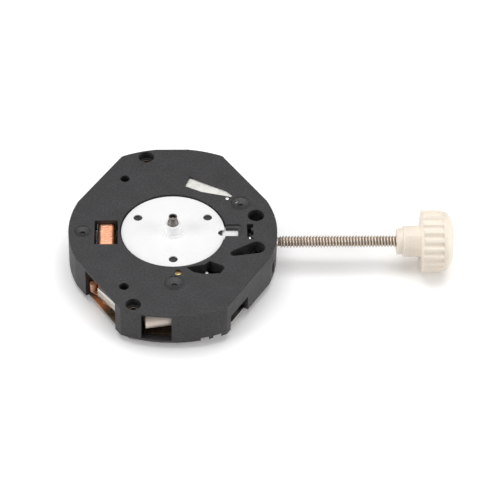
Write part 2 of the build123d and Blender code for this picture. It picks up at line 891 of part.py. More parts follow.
def face_marks():
    """Shallow dished marks left by the mould"""
    marks = (
        (side_mark_x, side_mark_y, side_mark_radius),
        (corner_mark_x, corner_mark_y, corner_mark_radius),
        (front_mark_x, front_mark_y, front_mark_radius),
    )
    cuts = []
    for x, y, radius in marks:
        cuts.append(disc(radius, cut_over, -mark_step, (x, y)))
        dish = mark_depth - mark_step
        ball = (radius**2 + dish**2) / (2 * dish)
        cuts.append(Pos(x, y, ball - mark_depth) * Sphere(ball) & disc(radius, 0, -mark_depth, (x, y)))
        cuts.append(disc(mark_dimple_radius, cut_over, -mark_dimple_depth, (x, y)))
    return cuts


def plate_holes():
    """Round holes in the plate: nuts, dial feet, pivots and the loose round hole"""
    cuts = [
        disc(upper_hole_radius, cut_over, -shown_nut_drop, upper_pillar),
        disc(lower_hole_radius, cut_over, -shown_nut_drop, lower_pillar),
        disc(round_hole_radius, cut_over, deck_bottom, (round_hole_x, round_hole_y)),
        disc(terminal_rivet_radius, cut_over, terminal_top, (terminal_rivet_x, terminal_rivet_y)),
        disc(bridge_nut_radius, cut_over, bridge_top, pin_pillar),
    ]
    for place in (upper_pillar, lower_pillar):
        cuts.append(disc(cover_nut_radius, 0, rim_bottom, place))
    for place in (front_pillar, back_pillar):
        cuts.append(disc(cover_nut_radius, -nut_drop, rim_bottom, place))
    for place in bridge_pillars[:2]:
        cuts.append(disc(bridge_nut_radius, -nut_drop, bridge_top, place))
    for place in foot_holes:
        cuts.append(disc(foot_hole_radius, cut_over, -foot_boss_drop, place))
    for place in core_tabs:
        cuts.append(disc(coil_nut_radius, -coil_nut_drop, core_top, place))
    for place in keyless_screw_places:
        cuts.append(disc(post_radius, deck_bottom, keyless_top, place))
    pivot_top = deck_bottom + pivot_length + pivot_fit
    for place in (rotor_place, fifth_place, third_place):
        cuts.append(disc(pivot_radius + pivot_fit, pivot_top, deck_bottom, place))
    return cuts


def wall_openings():
    """Openings in the side walls"""
    outer = flat_distance + wall
    left = flat_box(
        180 + flat_angle, left_opening_start, left_opening_end, flat_distance - left_opening_depth, outer,
        rim_bottom - wall, -left_opening_drop,
    )
    right = flat_box(
        -flat_angle, right_opening_start, right_opening_end, flat_distance - wall - seat_gap, outer,
        rim_bottom - wall, -right_opening_drop,
    )
    front = block(
        crystal_window_left, crystal_window_right, -end_radius - wall, -end_radius + crystal_window_depth,
        -crystal_window_bottom, -crystal_window_drop,
    )
    slot = Pos(side_radius, 0, -stem_side_slot_drop - stem_side_slot_height / 2) * Box(
        2 * wall, stem_side_slot_width, stem_side_slot_height
    )
    cuts = [left, right, front, Rot(0, 0, stem_side_slot_angle) * slot]
    nick_top = rim_bottom + front_nick_height
    for number in range(front_nick_count):
        x = front_nick_x + number * front_nick_step
        cuts.append(block(x, x + front_nick_width, -end_radius, 2 * wall - end_radius, rim_bottom, nick_top))
    return cuts


def main_plate():
    """The black moulded plate: deck, rim wall and everything moulded on them"""
    body = slab(outline(), 0, rim_bottom) - slab(outline(wall), deck_bottom, rim_bottom)
    for piece in plate_supports():
        body += piece
    side = coil_half_width + coil_gap
    end = coil_half_length + coil_gap
    room_top = coil_height + coil_rise + coil_half_height + coil_gap
    coil_room = block(coil_x - side, coil_x + side, -end, end, rim_bottom, room_top)
    coil_room += slab(motor_room(), core_top, rim_bottom)
    middle = crystal_axis((crystal_length + crystal_lead_run) / 2)
    room_length = crystal_length + crystal_lead_run + 2 * coil_gap
    room_width = 2 * (crystal_radius + coil_gap)
    crystal_room = Pos(*middle) * Rot(0, 0, crystal_yaw) * Rectangle(room_length, room_width)
    body -= coil_room
    body -= slab(crystal_room, crystal_height + crystal_radius + coil_gap, deck_bottom)
    body -= motion_pockets()
    post = disc(post_radius, recess_floor - disc_floor_gap, pocket_floor, minute_place)
    body += post
    post_bottom = setting_bottom - seat_gap
    body += disc(yoke_post_radius, setting_top, post_bottom, setting_place)
    body -= battery_well()
    train_room = disc(tip_radius(centre_teeth, third_module) + wheel_gap, deck_bottom, bridge_top)
    body -= train_room - disc(bridge_pillar_radius, deck_bottom, bridge_top, bridge_pillars[0])
    body -= keyless_cuts()
    body -= face_windows()
    for cut in face_marks() + plate_holes() + wall_openings():
        body -= cut
    return body


def hour_wheel():
    """White disc with three holes, the hour pipe above it and a toothed ring below"""
    body = disc(disc_radius, disc_top, disc_bottom)
    for number in range(disc_hole_count):
        place = polar(disc_hole_centre_radius, -90 + number * 360 / disc_hole_count)
        body -= disc(disc_hole_radius, disc_top, disc_bottom, place)
    body -= disc(disc_hole_radius, disc_top, disc_bottom, polar(disc_notch_centre_radius, disc_notch_angle))
    body += disc(hour_hub_radius, disc_top + hour_hub_height, disc_top)
    body += disc(hour_pipe_radius, hour_pipe_rise, disc_top)
    body += gear(hour_teeth, hour_module, disc_bottom, hour_gear_bottom, centre_place, hour_phase)
    return body - disc(minute_pipe_radius + running_fit, hour_pipe_rise, hour_gear_bottom)


def minute_pipe():
    """The steel pipe that carries the minute hand, with its twelve teeth"""
    body = disc(minute_seat_radius, minute_pipe_top, minute_seat_start)
    body += disc(minute_pipe_radius, minute_seat_start, centre_wheel_top + pivot_fit)
    teeth_top = hour_gear_bottom - pivot_fit
    teeth_bottom = minute_wheel_bottom - pivot_fit
    body += gear(cannon_teeth, cannon_module, teeth_top, teeth_bottom, centre_place, cannon_phase)
    return body - disc(centre_tube_radius + pivot_fit, minute_pipe_top, centre_wheel_top)


def centre_wheel():
    """The wheel under the plate whose tube carries the minute pipe"""
    bore = second_arbor_radius + running_fit
    body = spoked_wheel(centre_teeth, third_module, centre_wheel_top, centre_place, centre_phase, bore)
    body += ring(centre_tube_radius, bore, centre_tube_top, centre_wheel_top)
    return body + ring(hub_radius, bore, centre_wheel_bottom, centre_wheel_bottom - seat_gap)


def second_arbor():
    """The seconds arbor with its pinion, from the bridge up through the centre tube"""
    body = disc(second_arbor_radius, second_arbor_top, bridge_top)
    body += disc(pivot_radius, bridge_top, bridge_top - pivot_length)
    top = third_wheel_top + pinion_overhang
    bottom = second_wheel_top
    return body + gear(second_pinion_teeth, second_module, top, bottom, centre_place, third_angle)


def second_wheel():
    return spoked_wheel(
        second_teeth, fifth_module, second_wheel_top, centre_place, second_phase, second_arbor_radius
    )


def third_pinion():
    top = centre_wheel_top + pinion_overhang
    bottom = centre_wheel_bottom - pinion_overhang
    body = arbor(third_place, deck_bottom, bridge_top)
    return body + gear(third_pinion_teeth, third_module, top, bottom, third_place, third_heading)


def third_wheel():
    return spoked_wheel(third_teeth, second_module, third_wheel_top, third_place, third_phase, arbor_radius)


def fifth_pinion():
    top = second_wheel_top + pinion_overhang
    bottom = second_wheel_bottom - pinion_overhang
    body = arbor(fifth_place, deck_bottom, bridge_top)
    return body + gear(fifth_pinion_teeth, fifth_module, top, bottom, fifth_place, fifth_heading)


def fifth_wheel():
    return spoked_wheel(fifth_teeth, rotor_module, fifth_wheel_top, fifth_place, fifth_phase, arbor_radius)


def rotor_pinion():
    """The rotor's arbor with the first pinion of the train"""
    top = fifth_wheel_top + pinion_overhang
    bottom = fifth_wheel_bottom - pinion_overhang
    body = arbor(rotor_place, deck_bottom, bridge_top)
    return body + gear(rotor_teeth, rotor_module, top, bottom, rotor_place, rotor_heading)


def rotor_magnet():
    top = core_bottom - magnet_gap
    return ring(magnet_radius, arbor_radius, top, stator_bottom - magnet_gap, rotor_place)


def rotor_jewel():
    return ring(jewel_radius, pivot_radius + pivot_fit, bridge_top, bridge_bottom, rotor_place)


def minute_wheel():
    """The minute wheel and its pinion, turning on a post of the plate"""
    top = minute_wheel_top
    bottom = minute_wheel_bottom
    body = gear(minute_teeth, cannon_module, top, bottom, minute_place, minute_phase)
    pinion_top = disc_bottom - seat_gap
    body += gear(minute_pinion_teeth, hour_module, pinion_top, top, minute_place, minute_heading)
    return body - disc(post_radius + running_fit, pinion_top, bottom, minute_place)


def setting_wheel():
    """The white wheel between the clutch and the minute wheel"""
    body = gear(setting_teeth, cannon_module, setting_top, setting_bottom, setting_place, setting_phase)
    return body - disc(yoke_post_radius + running_fit, setting_top, setting_bottom, setting_place)


def setting_wheel_guard():
    """A thin white plate between the setting wheel and the window"""
    return block(guard_left, guard_right, guard_front, guard_back, setting_top + guard_gap, guard_top)


def clutch_wheel():
    """The sliding pinion: face teeth, a groove for the yoke and a square bore"""
    teeth_end = clutch_tip_x + clutch_tooth_length
    body = rod(clutch_radius, clutch_tip_x, clutch_end_x)
    body -= rod(clutch_bore_radius, clutch_tip_x, teeth_end)
    groove_end = clutch_groove_x + clutch_groove_width
    groove = rod(clutch_radius, clutch_groove_x, groove_end)
    body -= groove - rod(clutch_groove_radius, clutch_groove_x, groove_end)
    tooth_gap = math.pi * clutch_radius / clutch_tooth_count
    for number in range(clutch_tooth_count):
        gap = block(clutch_tip_x, teeth_end, -tooth_gap / 2, tooth_gap / 2, 0, clutch_radius)
        body -= Pos(0, 0, stem_height) * Rot(number * 360 / clutch_tooth_count, 0, 0) * gap
    hole = rod(square_radius + pivot_fit, clutch_tip_x, clutch_end_x)
    hole &= stem_square(clutch_tip_x, clutch_end_x, square_width + 2 * pivot_fit)
    return body - hole


def stem_square(start, end, width):
    return block(start, end, -width / 2, width / 2, stem_height - width / 2, stem_height + width / 2)


def stem():
    """The winding stem: square end, lever groove, journal and thread"""
    square = stem_square(stem_tip_x, collar_start_x, square_width)
    body = rod(square_radius, stem_tip_x, collar_start_x) & square
    body += rod(collar_radius, collar_start_x, groove_start_x)
    body += rod(square_radius, groove_start_x, groove_end_x)
    body += rod(journal_radius, groove_end_x, thread_relief_x)
    body += rod(thread_root_radius, thread_relief_x, thread_start_x)
    return body + threaded_rod()


def threaded_rod():
    """The thread as one ridge per pitch, turned from a zigzag"""
    count = int((stem_end_x - thread_start_x) / thread_pitch)
    points = [(thread_start_x, 0), (thread_start_x, thread_root_radius)]
    for number in range(count):
        points.append((thread_start_x + (number + 1 / 2) * thread_pitch, thread_radius))
        points.append((thread_start_x + (number + 1) * thread_pitch, thread_root_radius))
    points.append((thread_start_x + count * thread_pitch, 0))
    face = Plane.XZ * make_face(Polyline(*points, close=True))
    return Pos(0, 0, stem_height) * revolve(face, Axis.X)


def crown():
    """The crown: a stepped collar and a knurled drum with a domed end"""
    ring_end = crown_start_x + crown_ring_length
    drum_start = ring_end + crown_collar_length
    drum_end = drum_start + crown_drum_length
    face = Circle(crown_radius)
    for number in range(knurl_count):
        angle = knurl_angle + number * 360 / knurl_count
        face -= dot(polar(crown_radius + knurl_radius / 2, angle), knurl_radius)
    body = Pos(drum_start, 0, stem_height) * Rot(0, 90, 0) * extrude(face, drum_end - drum_start)
    flange_end = drum_end + crown_flange_length
    body += rod(crown_flange_radius, drum_end, flange_end)
    seat = (Align.CENTER, Align.CENTER, Align.MIN)
    dome = Cone(crown_flange_radius, crown_dome_radius, crown_dome_length, align=seat)
    body += Pos(flange_end, 0, stem_height) * Rot(0, 90, 0) * dome
    body += rod(crown_ring_radius, crown_start_x, ring_end)
    body += rod(crown_collar_radius, ring_end, drum_start)
    return body - rod(thread_radius, crown_start_x, stem_end_x)


def yoke():
    """The yoke: a hub, an arm and the finger that moves the clutch"""
    waist = (yoke_place[0], yoke_waist_y)
    tip = (yoke_place[0], yoke_finger_end_y + yoke_finger_width / 2)
    face = dot(yoke_place, yoke_hub_radius) + bar(yoke_place, waist, yoke_arm_width)
    face += bar(waist, tip, yoke_finger_width)
    face -= dot(yoke_place, yoke_post_radius + running_fit)
    return slab(face, lever_top, lever_bottom)


def setting_lever():
    """The sliding lever that holds the stem by its groove"""
    corners = [
        (setting_left_x, setting_near_y),
        (setting_right_x, setting_near_y),
        (setting_right_x, setting_far_y + 2 * setting_chamfer),
        (setting_right_x - setting_chamfer, setting_far_y),
        (setting_left_x, setting_far_y),
    ]
    face = make_face(Polyline(*corners, close=True))
    finger_x = (groove_start_x + groove_end_x) / 2
    finger = bar((finger_x, setting_near_y), (finger_x, -setting_finger_end_y), setting_finger_width)
    face += finger
    for x, y in slot_posts:
        face -= bar((x, y), (x - crown_pull_length, y), 2 * (post_radius + running_fit))
    return slab(face, lever_top, lever_bottom)


def keyless_cover():
    """The thin plate that closes the keyless works from below"""
    face = outline(wall + board_gap) & Pos(keyless_edge_x + side_radius / 2, 0) * Rectangle(
        side_radius, 2 * keyless_side_y
    )
    room_length = 2 * (side_radius - wall - keyless_bridge_width - keyless_edge_x)
    face -= Pos(keyless_edge_x, 0) * Rectangle(room_length, 2 * clutch_radius)
    face -= dot(battery_place, well_radius + battery_ring_wall + seat_gap)
    face -= dot(back_pillar, cover_pillar_radius + seat_gap)
    for place in keyless_screw_places:
        face -= dot(place, post_radius + screw_fit)
    body = slab(face, keyless_top, keyless_bottom)
    top = lever_bottom - lever_gap
    for place in slot_posts:
        body += ring(shoulder_radius, post_radius + pivot_fit, top, keyless_top, place)
    return body + ring(shoulder_radius, yoke_post_radius + pivot_fit, top, keyless_top, yoke_place)


def stop_lever():
    """The lever that stops the seconds wheel while the crown is out"""
    tip = (stop_tip_x, stop_tip_y)
    face = dot(stop_pivot, hub_radius) + bar(stop_pivot, tip, stop_tip_width)
    middle = ((stop_pivot_x + stop_tip_x) / 2, (stop_pivot_y + stop_tip_y) / 2)
    face += bar(stop_pivot, middle, stop_arm_width)
    face += bar(stop_pivot, (stop_tail_x, stop_tail_y), stop_arm_width)
    face -= dot(stop_pivot, post_radius + running_fit)
    return slab(face, second_wheel_top, second_wheel_bottom)


def core_strip(top, bottom):
    """A strip along the lower left flat, narrower at its front end"""
    far = flat_distance - core_strip_edge_gap
    near = far - core_strip_width
    corners = ((near, core_strip_start), (far, core_strip_start))
    corners += ((far - core_strip_taper, core_strip_end), (near, core_strip_end))
    face = make_face(Polyline(*corners, close=True))
    return slab(Rot(0, 0, 180 + flat_angle) * face, top, bottom)


def coil_core():
    """The flat bar through the coil, with a screw tab at each end"""
    shoulders = ((coil_x, coil_half_length), (coil_x, -coil_half_length))
    pieces = [bar(shoulders[0], shoulders[1], core_width)]
    for shoulder, tab in zip(shoulders, core_tabs):
        pieces.append(bar(shoulder, tab, core_width))
        pieces.append(dot(tab, core_tab_width / 2))
    face = joined(pieces)
    for tab in core_tabs:
        face -= dot(tab, coil_nut_radius * nut_wall_share + screw_fit)
    return slab(face, core_top, core_bottom) + core_strip(core_top, core_bottom)


def coil_winding():
    """The wire wound on the core, as one closed body with rounded edges"""
    section = RectangleRounded(2 * coil_half_width, 2 * coil_half_height, coil_round)
    body = Rot(-90, 0, 0) * extrude(section, 2 * coil_half_length)
    body = Pos(coil_x, -coil_half_length, coil_height + coil_rise) * body
    half = core_width / 2
    return body - block(
        coil_x - half, coil_x + half, -coil_half_length, coil_half_length, core_bottom, core_top
    )


def coil_lead_board():
    """The brown lead board at the coil's front end, with the wire's pad and a leg to the circuit board"""
    tab = core_tabs[1]
    face = bar(tab, lead_board_place, lead_board_width) + bar(tab, lead_leg_place, 2 * lead_leg_radius)
    face -= dot(tab, coil_nut_radius * nut_wall_share + screw_fit)
    low = stator_bottom - lead_board_thickness
    face += bar(lead_board_place, lead_pad_place, 2 * lead_pad_radius)
    body = slab(face, stator_bottom, low)
    body += disc(lead_pad_radius, -lead_pad_drop, low, lead_pad_place)
    return body + disc(lead_leg_radius, stator_bottom, bridge_bottom, lead_leg_place)


def stator():
    face = stator_face()
    for tab in core_tabs:
        face -= dot(tab, coil_nut_radius * nut_wall_share + screw_fit)
    return slab(face, core_bottom, stator_bottom) + core_strip(core_bottom - seat_gap, stator_bottom)


def train_bridge():
    """The bridge that holds the lower pivots of the train"""
    places = [rotor_place, fifth_place, third_place, stop_pivot, *bridge_pillars]
    edges = []
    for place in places:
        edges += dot(place, bridge_pillar_radius).edges()
    face = make_hull(edges)
    face -= dot(battery_place, well_radius + battery_ring_wall + seat_gap)
    face -= dot(rotor_place, jewel_radius)
    face -= dot(contact_pin_place, contact_pin_radius + seat_gap)
    for place in (centre_place, fifth_place, third_place):
        face -= dot(place, pivot_radius + pivot_fit)
    for place in bridge_pillars:
        face -= dot(place, bridge_screw_radius + screw_fit)
    return slab(face, bridge_top, bridge_bottom)


def circuit_board():
    """The board under the front of the movement, with a tongue to the terminal's leg"""
    inner = outline(wall + board_gap)
    low = board_edge_y - end_radius
    face = inner & Pos(0, (board_edge_y + low) / 2) * Rectangle(2 * side_radius, end_radius)
    tongue = bar((board_tongue_x, board_edge_y), terminal_leg, board_tongue_width)
    face += tongue - dot(battery_place, well_radius + battery_ring_wall + seat_gap)
    for place in (lower_pillar, front_pillar):
        face -= dot(place, cover_pillar_radius + seat_gap)
    for place in bridge_pillars[1:]:
        face -= dot(place, bridge_head_radius + seat_gap)
    side = flat_box(
        180 + flat_angle, left_opening_start + board_gap, left_opening_end - board_gap,
        flat_distance - left_opening_depth, flat_distance - board_side_edge_gap, rim_bottom, bridge_bottom,
    )
    return slab(face, bridge_bottom, rim_bottom) + side


def chip():
    half = chip_size / 2
    top = bridge_bottom + chip_height
    return block(chip_x - half, chip_x + half, chip_y - half, chip_y + half, bridge_bottom, top)


def contact_pin():
    """A round-ended bright pin on the board, seen in the window in front of the disc"""
    body = disc(contact_pin_radius, -contact_pin_drop, bridge_bottom, contact_pin_place)
    return fillet(body.edges().group_by(Axis.Z)[-1], contact_pin_radius * pin_round_share)


def quartz_crystal():
    """The crystal's round can with a thicker rim at its lead end"""
    body = extrude(Circle(crystal_radius), crystal_length)
    body = fillet(body.edges().group_by(Axis.Z)[0], crystal_rim)
    return Pos(*crystal_start, crystal_height) * Rot(0, 0, crystal_yaw) * Rot(0, 90, 0) * body


def crystal_leads():
    """Two wires from the can's end down to the board"""
    leads = []
    for side in (-1, 1):
        across = side * crystal_lead_spacing / 2
        start = crystal_axis(crystal_length, across)
        end = crystal_axis(crystal_length + crystal_lead_run, across)
        points = ((*start, crystal_height), (*end, crystal_height), (*end, bridge_bottom))
        route = FilletPolyline(*points, radius=crystal_lead_bend)
        section = Plane(origin=points[0], z_dir=route % 0) * Circle(crystal_lead_radius)
        leads.append(sweep(section, path=route))
    return leads


def minus_terminal():
    """The bright strip under the long slot, with a dimple on the battery and a leg to the board"""
    face = terminal_pad(terminal_width) + terminal_arm(terminal_arm_width)
    body = slab(face, terminal_top, terminal_bottom)
    body += disc(terminal_dimple_radius, terminal_bottom, battery_top, battery_place)
    half = terminal_leg_width / 2
    x, y = terminal_leg
    body += block(x - half, x + half, y - half, y + half, bridge_bottom, terminal_top)
    rivet = (terminal_rivet_x, terminal_rivet_y)
    return body + disc(terminal_rivet_radius, 0, terminal_bottom, rivet)


def battery_can():
    """The positive can, open at the dial side"""
    body = disc(battery_radius, battery_shoulder, battery_bottom, battery_place)
    body = fillet(body.edges().group_by(Axis.Z)[0], battery_round)
    seat = battery_cap_radius + gasket_width
    return body - disc(seat, battery_shoulder, battery_shoulder - gasket_height, battery_place)


def battery_gasket():
    seat = battery_cap_radius + gasket_width
    return ring(seat, battery_cap_radius, battery_shoulder, battery_shoulder - gasket_height, battery_place)


def battery_cap():
    """The negative cap that faces the dial side"""
    body = disc(battery_cap_radius, battery_top, battery_shoulder - gasket_height, battery_place)
    return fillet(body.edges().group_by(Axis.Z)[-1], battery_cap_height / 2)


def circuit_cover():
    """The metal cover over the board, with clamps on the battery and a tab up the side"""
    face = outline(cover_inset) - dot(battery_place, well_radius)
    face -= Pos(battery_x, battery_y + end_radius / 2) * Rectangle(cover_mouth_width, end_radius)
    ends = ((coil_x, cover_coil_half_length), (coil_x, -cover_coil_half_length))
    face -= bar(ends[0], ends[1], cover_coil_width)
    face -= dot((cover_train_x, cover_train_y), cover_train_radius)
    far = flat_distance - cover_side_window_depth
    window = flat_box(
        180 + flat_angle, left_opening_start, left_opening_end, far, flat_distance + wall, rim_bottom, 0
    )
    face -= window.faces().sort_by(Axis.Z)[-1]
    for place in bridge_pillars[:1]:
        face -= dot(place, bridge_head_radius + seat_gap)
    for place in cover_pillars:
        face -= dot(place, cover_nut_radius * nut_wall_share)
    body = slab(face, rim_bottom, cover_bottom)
    for angle in clamp_angles:
        body += battery_clamp(angle)
    for place in cover_feet:
        body += cover_foot(place)
    far = flat_distance - cover_tab_inset
    near = far - cover_tab_thickness
    body -= flat_box(
        -flat_angle, right_opening_start, right_opening_end, far, flat_distance + wall,
        cover_bottom, rim_bottom,
    )
    tab = flat_box(
        -flat_angle, right_opening_start + seat_gap, right_opening_end - seat_gap, near, far,
        cover_bottom, rim_bottom + cover_tab_height,
    )
    lip = flat_box(
        -flat_angle, right_opening_start + seat_gap, right_opening_end - seat_gap,
        flat_distance - 2 * cover_inset, far, cover_bottom, rim_bottom,
    )
    return body + tab + lip


def cover_foot(place):
    """A round foot pressed down from the cover, level with the clamps, for it to stand on"""
    foot = disc(cover_foot_radius, cover_bottom, battery_bottom - clamp_thickness, place)
    return fillet(foot.edges().group_by(Axis.Z)[0], clamp_thickness)


def battery_clamp(angle):
    """One arm of the cover, stepping down over the battery's edge"""
    outer = well_radius + clamp_wall
    low = battery_bottom - clamp_thickness
    arm = ring(outer, battery_radius + seat_gap, rim_bottom, low, battery_place)
    arm += ring(outer, battery_radius - clamp_lip_width, battery_bottom, low, battery_place)
    long = 2 * battery_radius
    half = math.radians(clamp_sweep / 2)
    wedge = make_face(
        Polyline((0, 0), (long, -long * math.tan(half)), (long, long * math.tan(half)), close=True)
    )
    wedge = Pos(battery_x, battery_y) * Rot(0, 0, angle) * wedge
    return arm & slab(wedge, rim_bottom, low)


def nut(radius, bore, top, bottom, place):
    return ring(radius, bore, top, bottom, place)


def cover_nuts():
    """Four brass nuts, two of which show in the large round holes"""
    tops = (-shown_nut_drop, -shown_nut_drop, -nut_drop, -nut_drop)
    bore = cover_nut_radius * nut_wall_share
    return [nut(cover_nut_radius, bore, top, rim_bottom, place) for top, place in zip(tops, cover_pillars)]


def bridge_nuts():
    """Two brass nuts for the bridge, and a closed one that shows in the face"""
    bore = bridge_screw_radius + screw_fit
    nuts = [nut(bridge_nut_radius, bore, -nut_drop, bridge_top, place) for place in bridge_pillars[:2]]
    pin = disc(bridge_nut_radius, -pin_nut_drop, bridge_top, pin_pillar)
    return nuts + [pin - disc(bore, -nut_drop, bridge_top, pin_pillar)]


def coil_nuts():
    bore = coil_nut_radius * nut_wall_share + screw_fit
    return [nut(coil_nut_radius, bore, -coil_nut_drop, core_top, place) for place in core_tabs]


def cover_screws():
    shank = cover_nut_radius * nut_wall_share - screw_fit
    end = -nut_drop - seat_gap
    return [
        slotted_screw(place, cover_bottom, cover_head_radius, cover_head_height, shank, end)
        for place in cover_pillars
    ]


def bridge_screws():
    shank = bridge_screw_radius
    end = -nut_drop - seat_gap
    return [
        slotted_screw(place, bridge_bottom, bridge_head_radius, bridge_head_height, shank, end)
        for place in bridge_pillars
    ]


def coil_screws():
    seats = (stator_bottom, stator_bottom - lead_board_thickness)
    shank = coil_nut_radius * nut_wall_share
    return [
        slotted_screw(place, seat, coil_head_radius, coil_head_height, shank, -coil_nut_drop - seat_gap)
        for place, seat in zip(core_tabs, seats)
    ]


def keyless_screws():
    shank = post_radius - screw_fit
    end = deck_bottom - seat_gap
    return [
        slotted_screw(place, keyless_bottom, shoulder_radius, bridge_head_height, shank, end)
        for place in keyless_screw_places
    ]


parts = {
    "main_plate": main_plate,
    "hour_wheel": hour_wheel,
    "minute_pipe": minute_pipe,
    "centre_wheel": centre_wheel,
    "second_arbor": second_arbor,
    "second_wheel": second_wheel,
    "third_pinion": third_pinion,
    "third_wheel": third_wheel,
    "fifth_pinion": fifth_pinion,
    "fifth_wheel": fifth_wheel,
    "rotor_pinion": rotor_pinion,
    "rotor_magnet": rotor_magnet,
    "rotor_jewel": rotor_jewel,
    "minute_wheel": minute_wheel,
    "setting_wheel": setting_wheel,
    "setting_wheel_guard": setting_wheel_guard,
    "clutch_wheel": clutch_wheel,
    "stem": stem,
    "crown": crown,
    "yoke": yoke,
    "setting_lever": setting_lever,
    "keyless_cover": keyless_cover,
    "stop_lever": stop_lever,
    "coil_core": coil_core,
    "coil_winding": coil_winding,
    "coil_lead_board": coil_lead_board,
    "stator": stator,
    "train_bridge": train_bridge,
    "circuit_board": circuit_board,
    "chip": chip,
    "contact_pin": contact_pin,
    "quartz_crystal": quartz_crystal,
    "crystal_leads": crystal_leads,
    "minus_terminal": minus_terminal,
    "battery_can": battery_can,
    "battery_gasket": battery_gasket,
    "battery_cap": battery_cap,
    "circuit_cover": circuit_cover,
    "cover_nuts": cover_nuts,
    "bridge_nuts": bridge_nuts,
    "coil_nuts": coil_nuts,
    "cover_screws": cover_screws,
    "bridge_screws": bridge_screws,
    "coil_screws": coil_screws,
    "keyless_screws": keyless_screws,
}

os.makedirs("parts", exist_ok=True)
for name, make in parts.items():
    made = make()
    solids = made if isinstance(made, list) else [made]
    whole = Compound(children=[solid for piece in solids for solid in piece.solids()])
    export_step(whole, f"parts/{name}.step")
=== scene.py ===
import math

import bpy
from mathutils import Matrix, Vector, noise

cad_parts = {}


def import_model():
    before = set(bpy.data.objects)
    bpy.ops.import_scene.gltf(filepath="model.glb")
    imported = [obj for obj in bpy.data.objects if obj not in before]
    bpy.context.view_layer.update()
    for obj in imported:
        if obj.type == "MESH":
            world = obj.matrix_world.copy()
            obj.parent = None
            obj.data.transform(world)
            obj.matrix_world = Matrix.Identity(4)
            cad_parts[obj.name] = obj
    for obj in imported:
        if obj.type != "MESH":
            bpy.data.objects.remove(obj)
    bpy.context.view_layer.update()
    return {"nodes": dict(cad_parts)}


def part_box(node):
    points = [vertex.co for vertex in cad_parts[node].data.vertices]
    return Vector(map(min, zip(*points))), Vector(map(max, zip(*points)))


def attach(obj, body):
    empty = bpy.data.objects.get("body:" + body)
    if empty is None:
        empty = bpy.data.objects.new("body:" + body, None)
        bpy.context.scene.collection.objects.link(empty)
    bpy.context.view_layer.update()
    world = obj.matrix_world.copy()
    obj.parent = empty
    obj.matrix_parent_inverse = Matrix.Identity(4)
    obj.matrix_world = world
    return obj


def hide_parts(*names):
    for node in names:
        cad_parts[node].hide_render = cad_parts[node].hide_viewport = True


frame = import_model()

# A quartz watch movement: surfaces for the CAD's nodes, then the threaded stem, the knurled crown,
# the wound coil and the battery's plus sign as meshes, then floor, light and camera.

MM = 0.001
PER_METRE = 1000.0
NODES = frame["nodes"]


def box_of(node):
    """The lowest and highest corners of a CAD node in millimetres"""
    low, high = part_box(node)
    return [c / MM for c in low], [c / MM for c in high]


crown_low, crown_high = box_of("crown")
coil_low, coil_high = box_of("coil_winding")
can_low, can_high = box_of("battery_can")
cover_low, _ = box_of("circuit_cover")

# Sockets of the mix node when it mixes colours
MIX_FACTOR = 0
MIX_COLOURS = (6, 7)
MIX_RESULT = 2

# Ranges of a noise texture's values that fade something in; the first holds nearly all of them
NOISE_RANGE = (0.3, 0.7)
GRAIN_RANGE = (0.35, 0.65)
DUST_RANGE = (0.70, 0.78)
STAIN_RANGE = (0.52, 0.72)
TARNISH_RANGE = (0.5, 0.8)
SMUDGE_RANGE = (0.35, 0.7)

# Sizes of the surfaces' textures in millimetres
PLASTIC_PATCH = 1.6
PLASTIC_SHEEN = 0.8
PLASTIC_WAVE = 2.4
DUST_SIZE = 0.11
METAL_PATCH = 0.9
METAL_SHEEN = 0.5
METAL_LINE = 0.06
STAIN_SIZE = 0.35
STEM_PATCH = 0.5
WIRE_PATCH = 0.3
WIRE_SHEEN = 0.4
BOARD_PATCH = 0.7
BOARD_SHEEN = 0.3
FINE_GRAIN = 0.05
FILM_GRAIN = 0.06
FLOOR_PATCH = 30.0

DUST = (0.5, 0.49, 0.48)
ROOT_SHADE = (0.40, 0.32, 0.26)
NO_STRETCH = (1.0, 1.0, 1.0)

# Rounding and shading of edges: angles in degrees, the weld's distance in metres
WELD_DISTANCE = 1e-7
FLAT_ANGLE = 0.5
NODE_EDGE_ANGLE = 35
PIECE_EDGE_ANGLE = 40
EDGE_SEGMENTS = 2
FACE_WEIGHT = 100

# Stem: millimetres along the X axis, and corners of (x, radius). The thread's flank is in
# shares of half a turn; painted shade in the thread's roots and their duller surface fade out over
# the last two ranges of radius
STEM_Z = (crown_low[2] + crown_high[2]) / 2
STEM_AROUND = 40
SQUARE_STATIONS = (3.15, 3.18, 5.85)
SQUARE_END = 5.86
SQUARE_HALF = 0.15
SQUARE_CORNER = 0.2
NECK_CORNERS = (
    (5.86, 0.2), (5.87, 0.31), (5.9, 0.34), (5.97, 0.34), (6.0, 0.31), (6.01, 0.2), (6.19, 0.2),
    (6.2, 0.4), (6.23, 0.42), (7.62, 0.42), (7.68, 0.37), (7.7, 0.355), (7.75, 0.355),
)
THREAD_START = 7.75
THREAD_END = 16.8
THREAD_PITCH = 0.225
THREAD_CREST = 0.45
THREAD_ROOT = 0.30
THREAD_FLANK = (0.08, 0.9)
THREAD_STEPS = 12
ROOT_SHADE_RADII = (0.32, 0.40)
DULL_RADII = (0.35, 0.45)

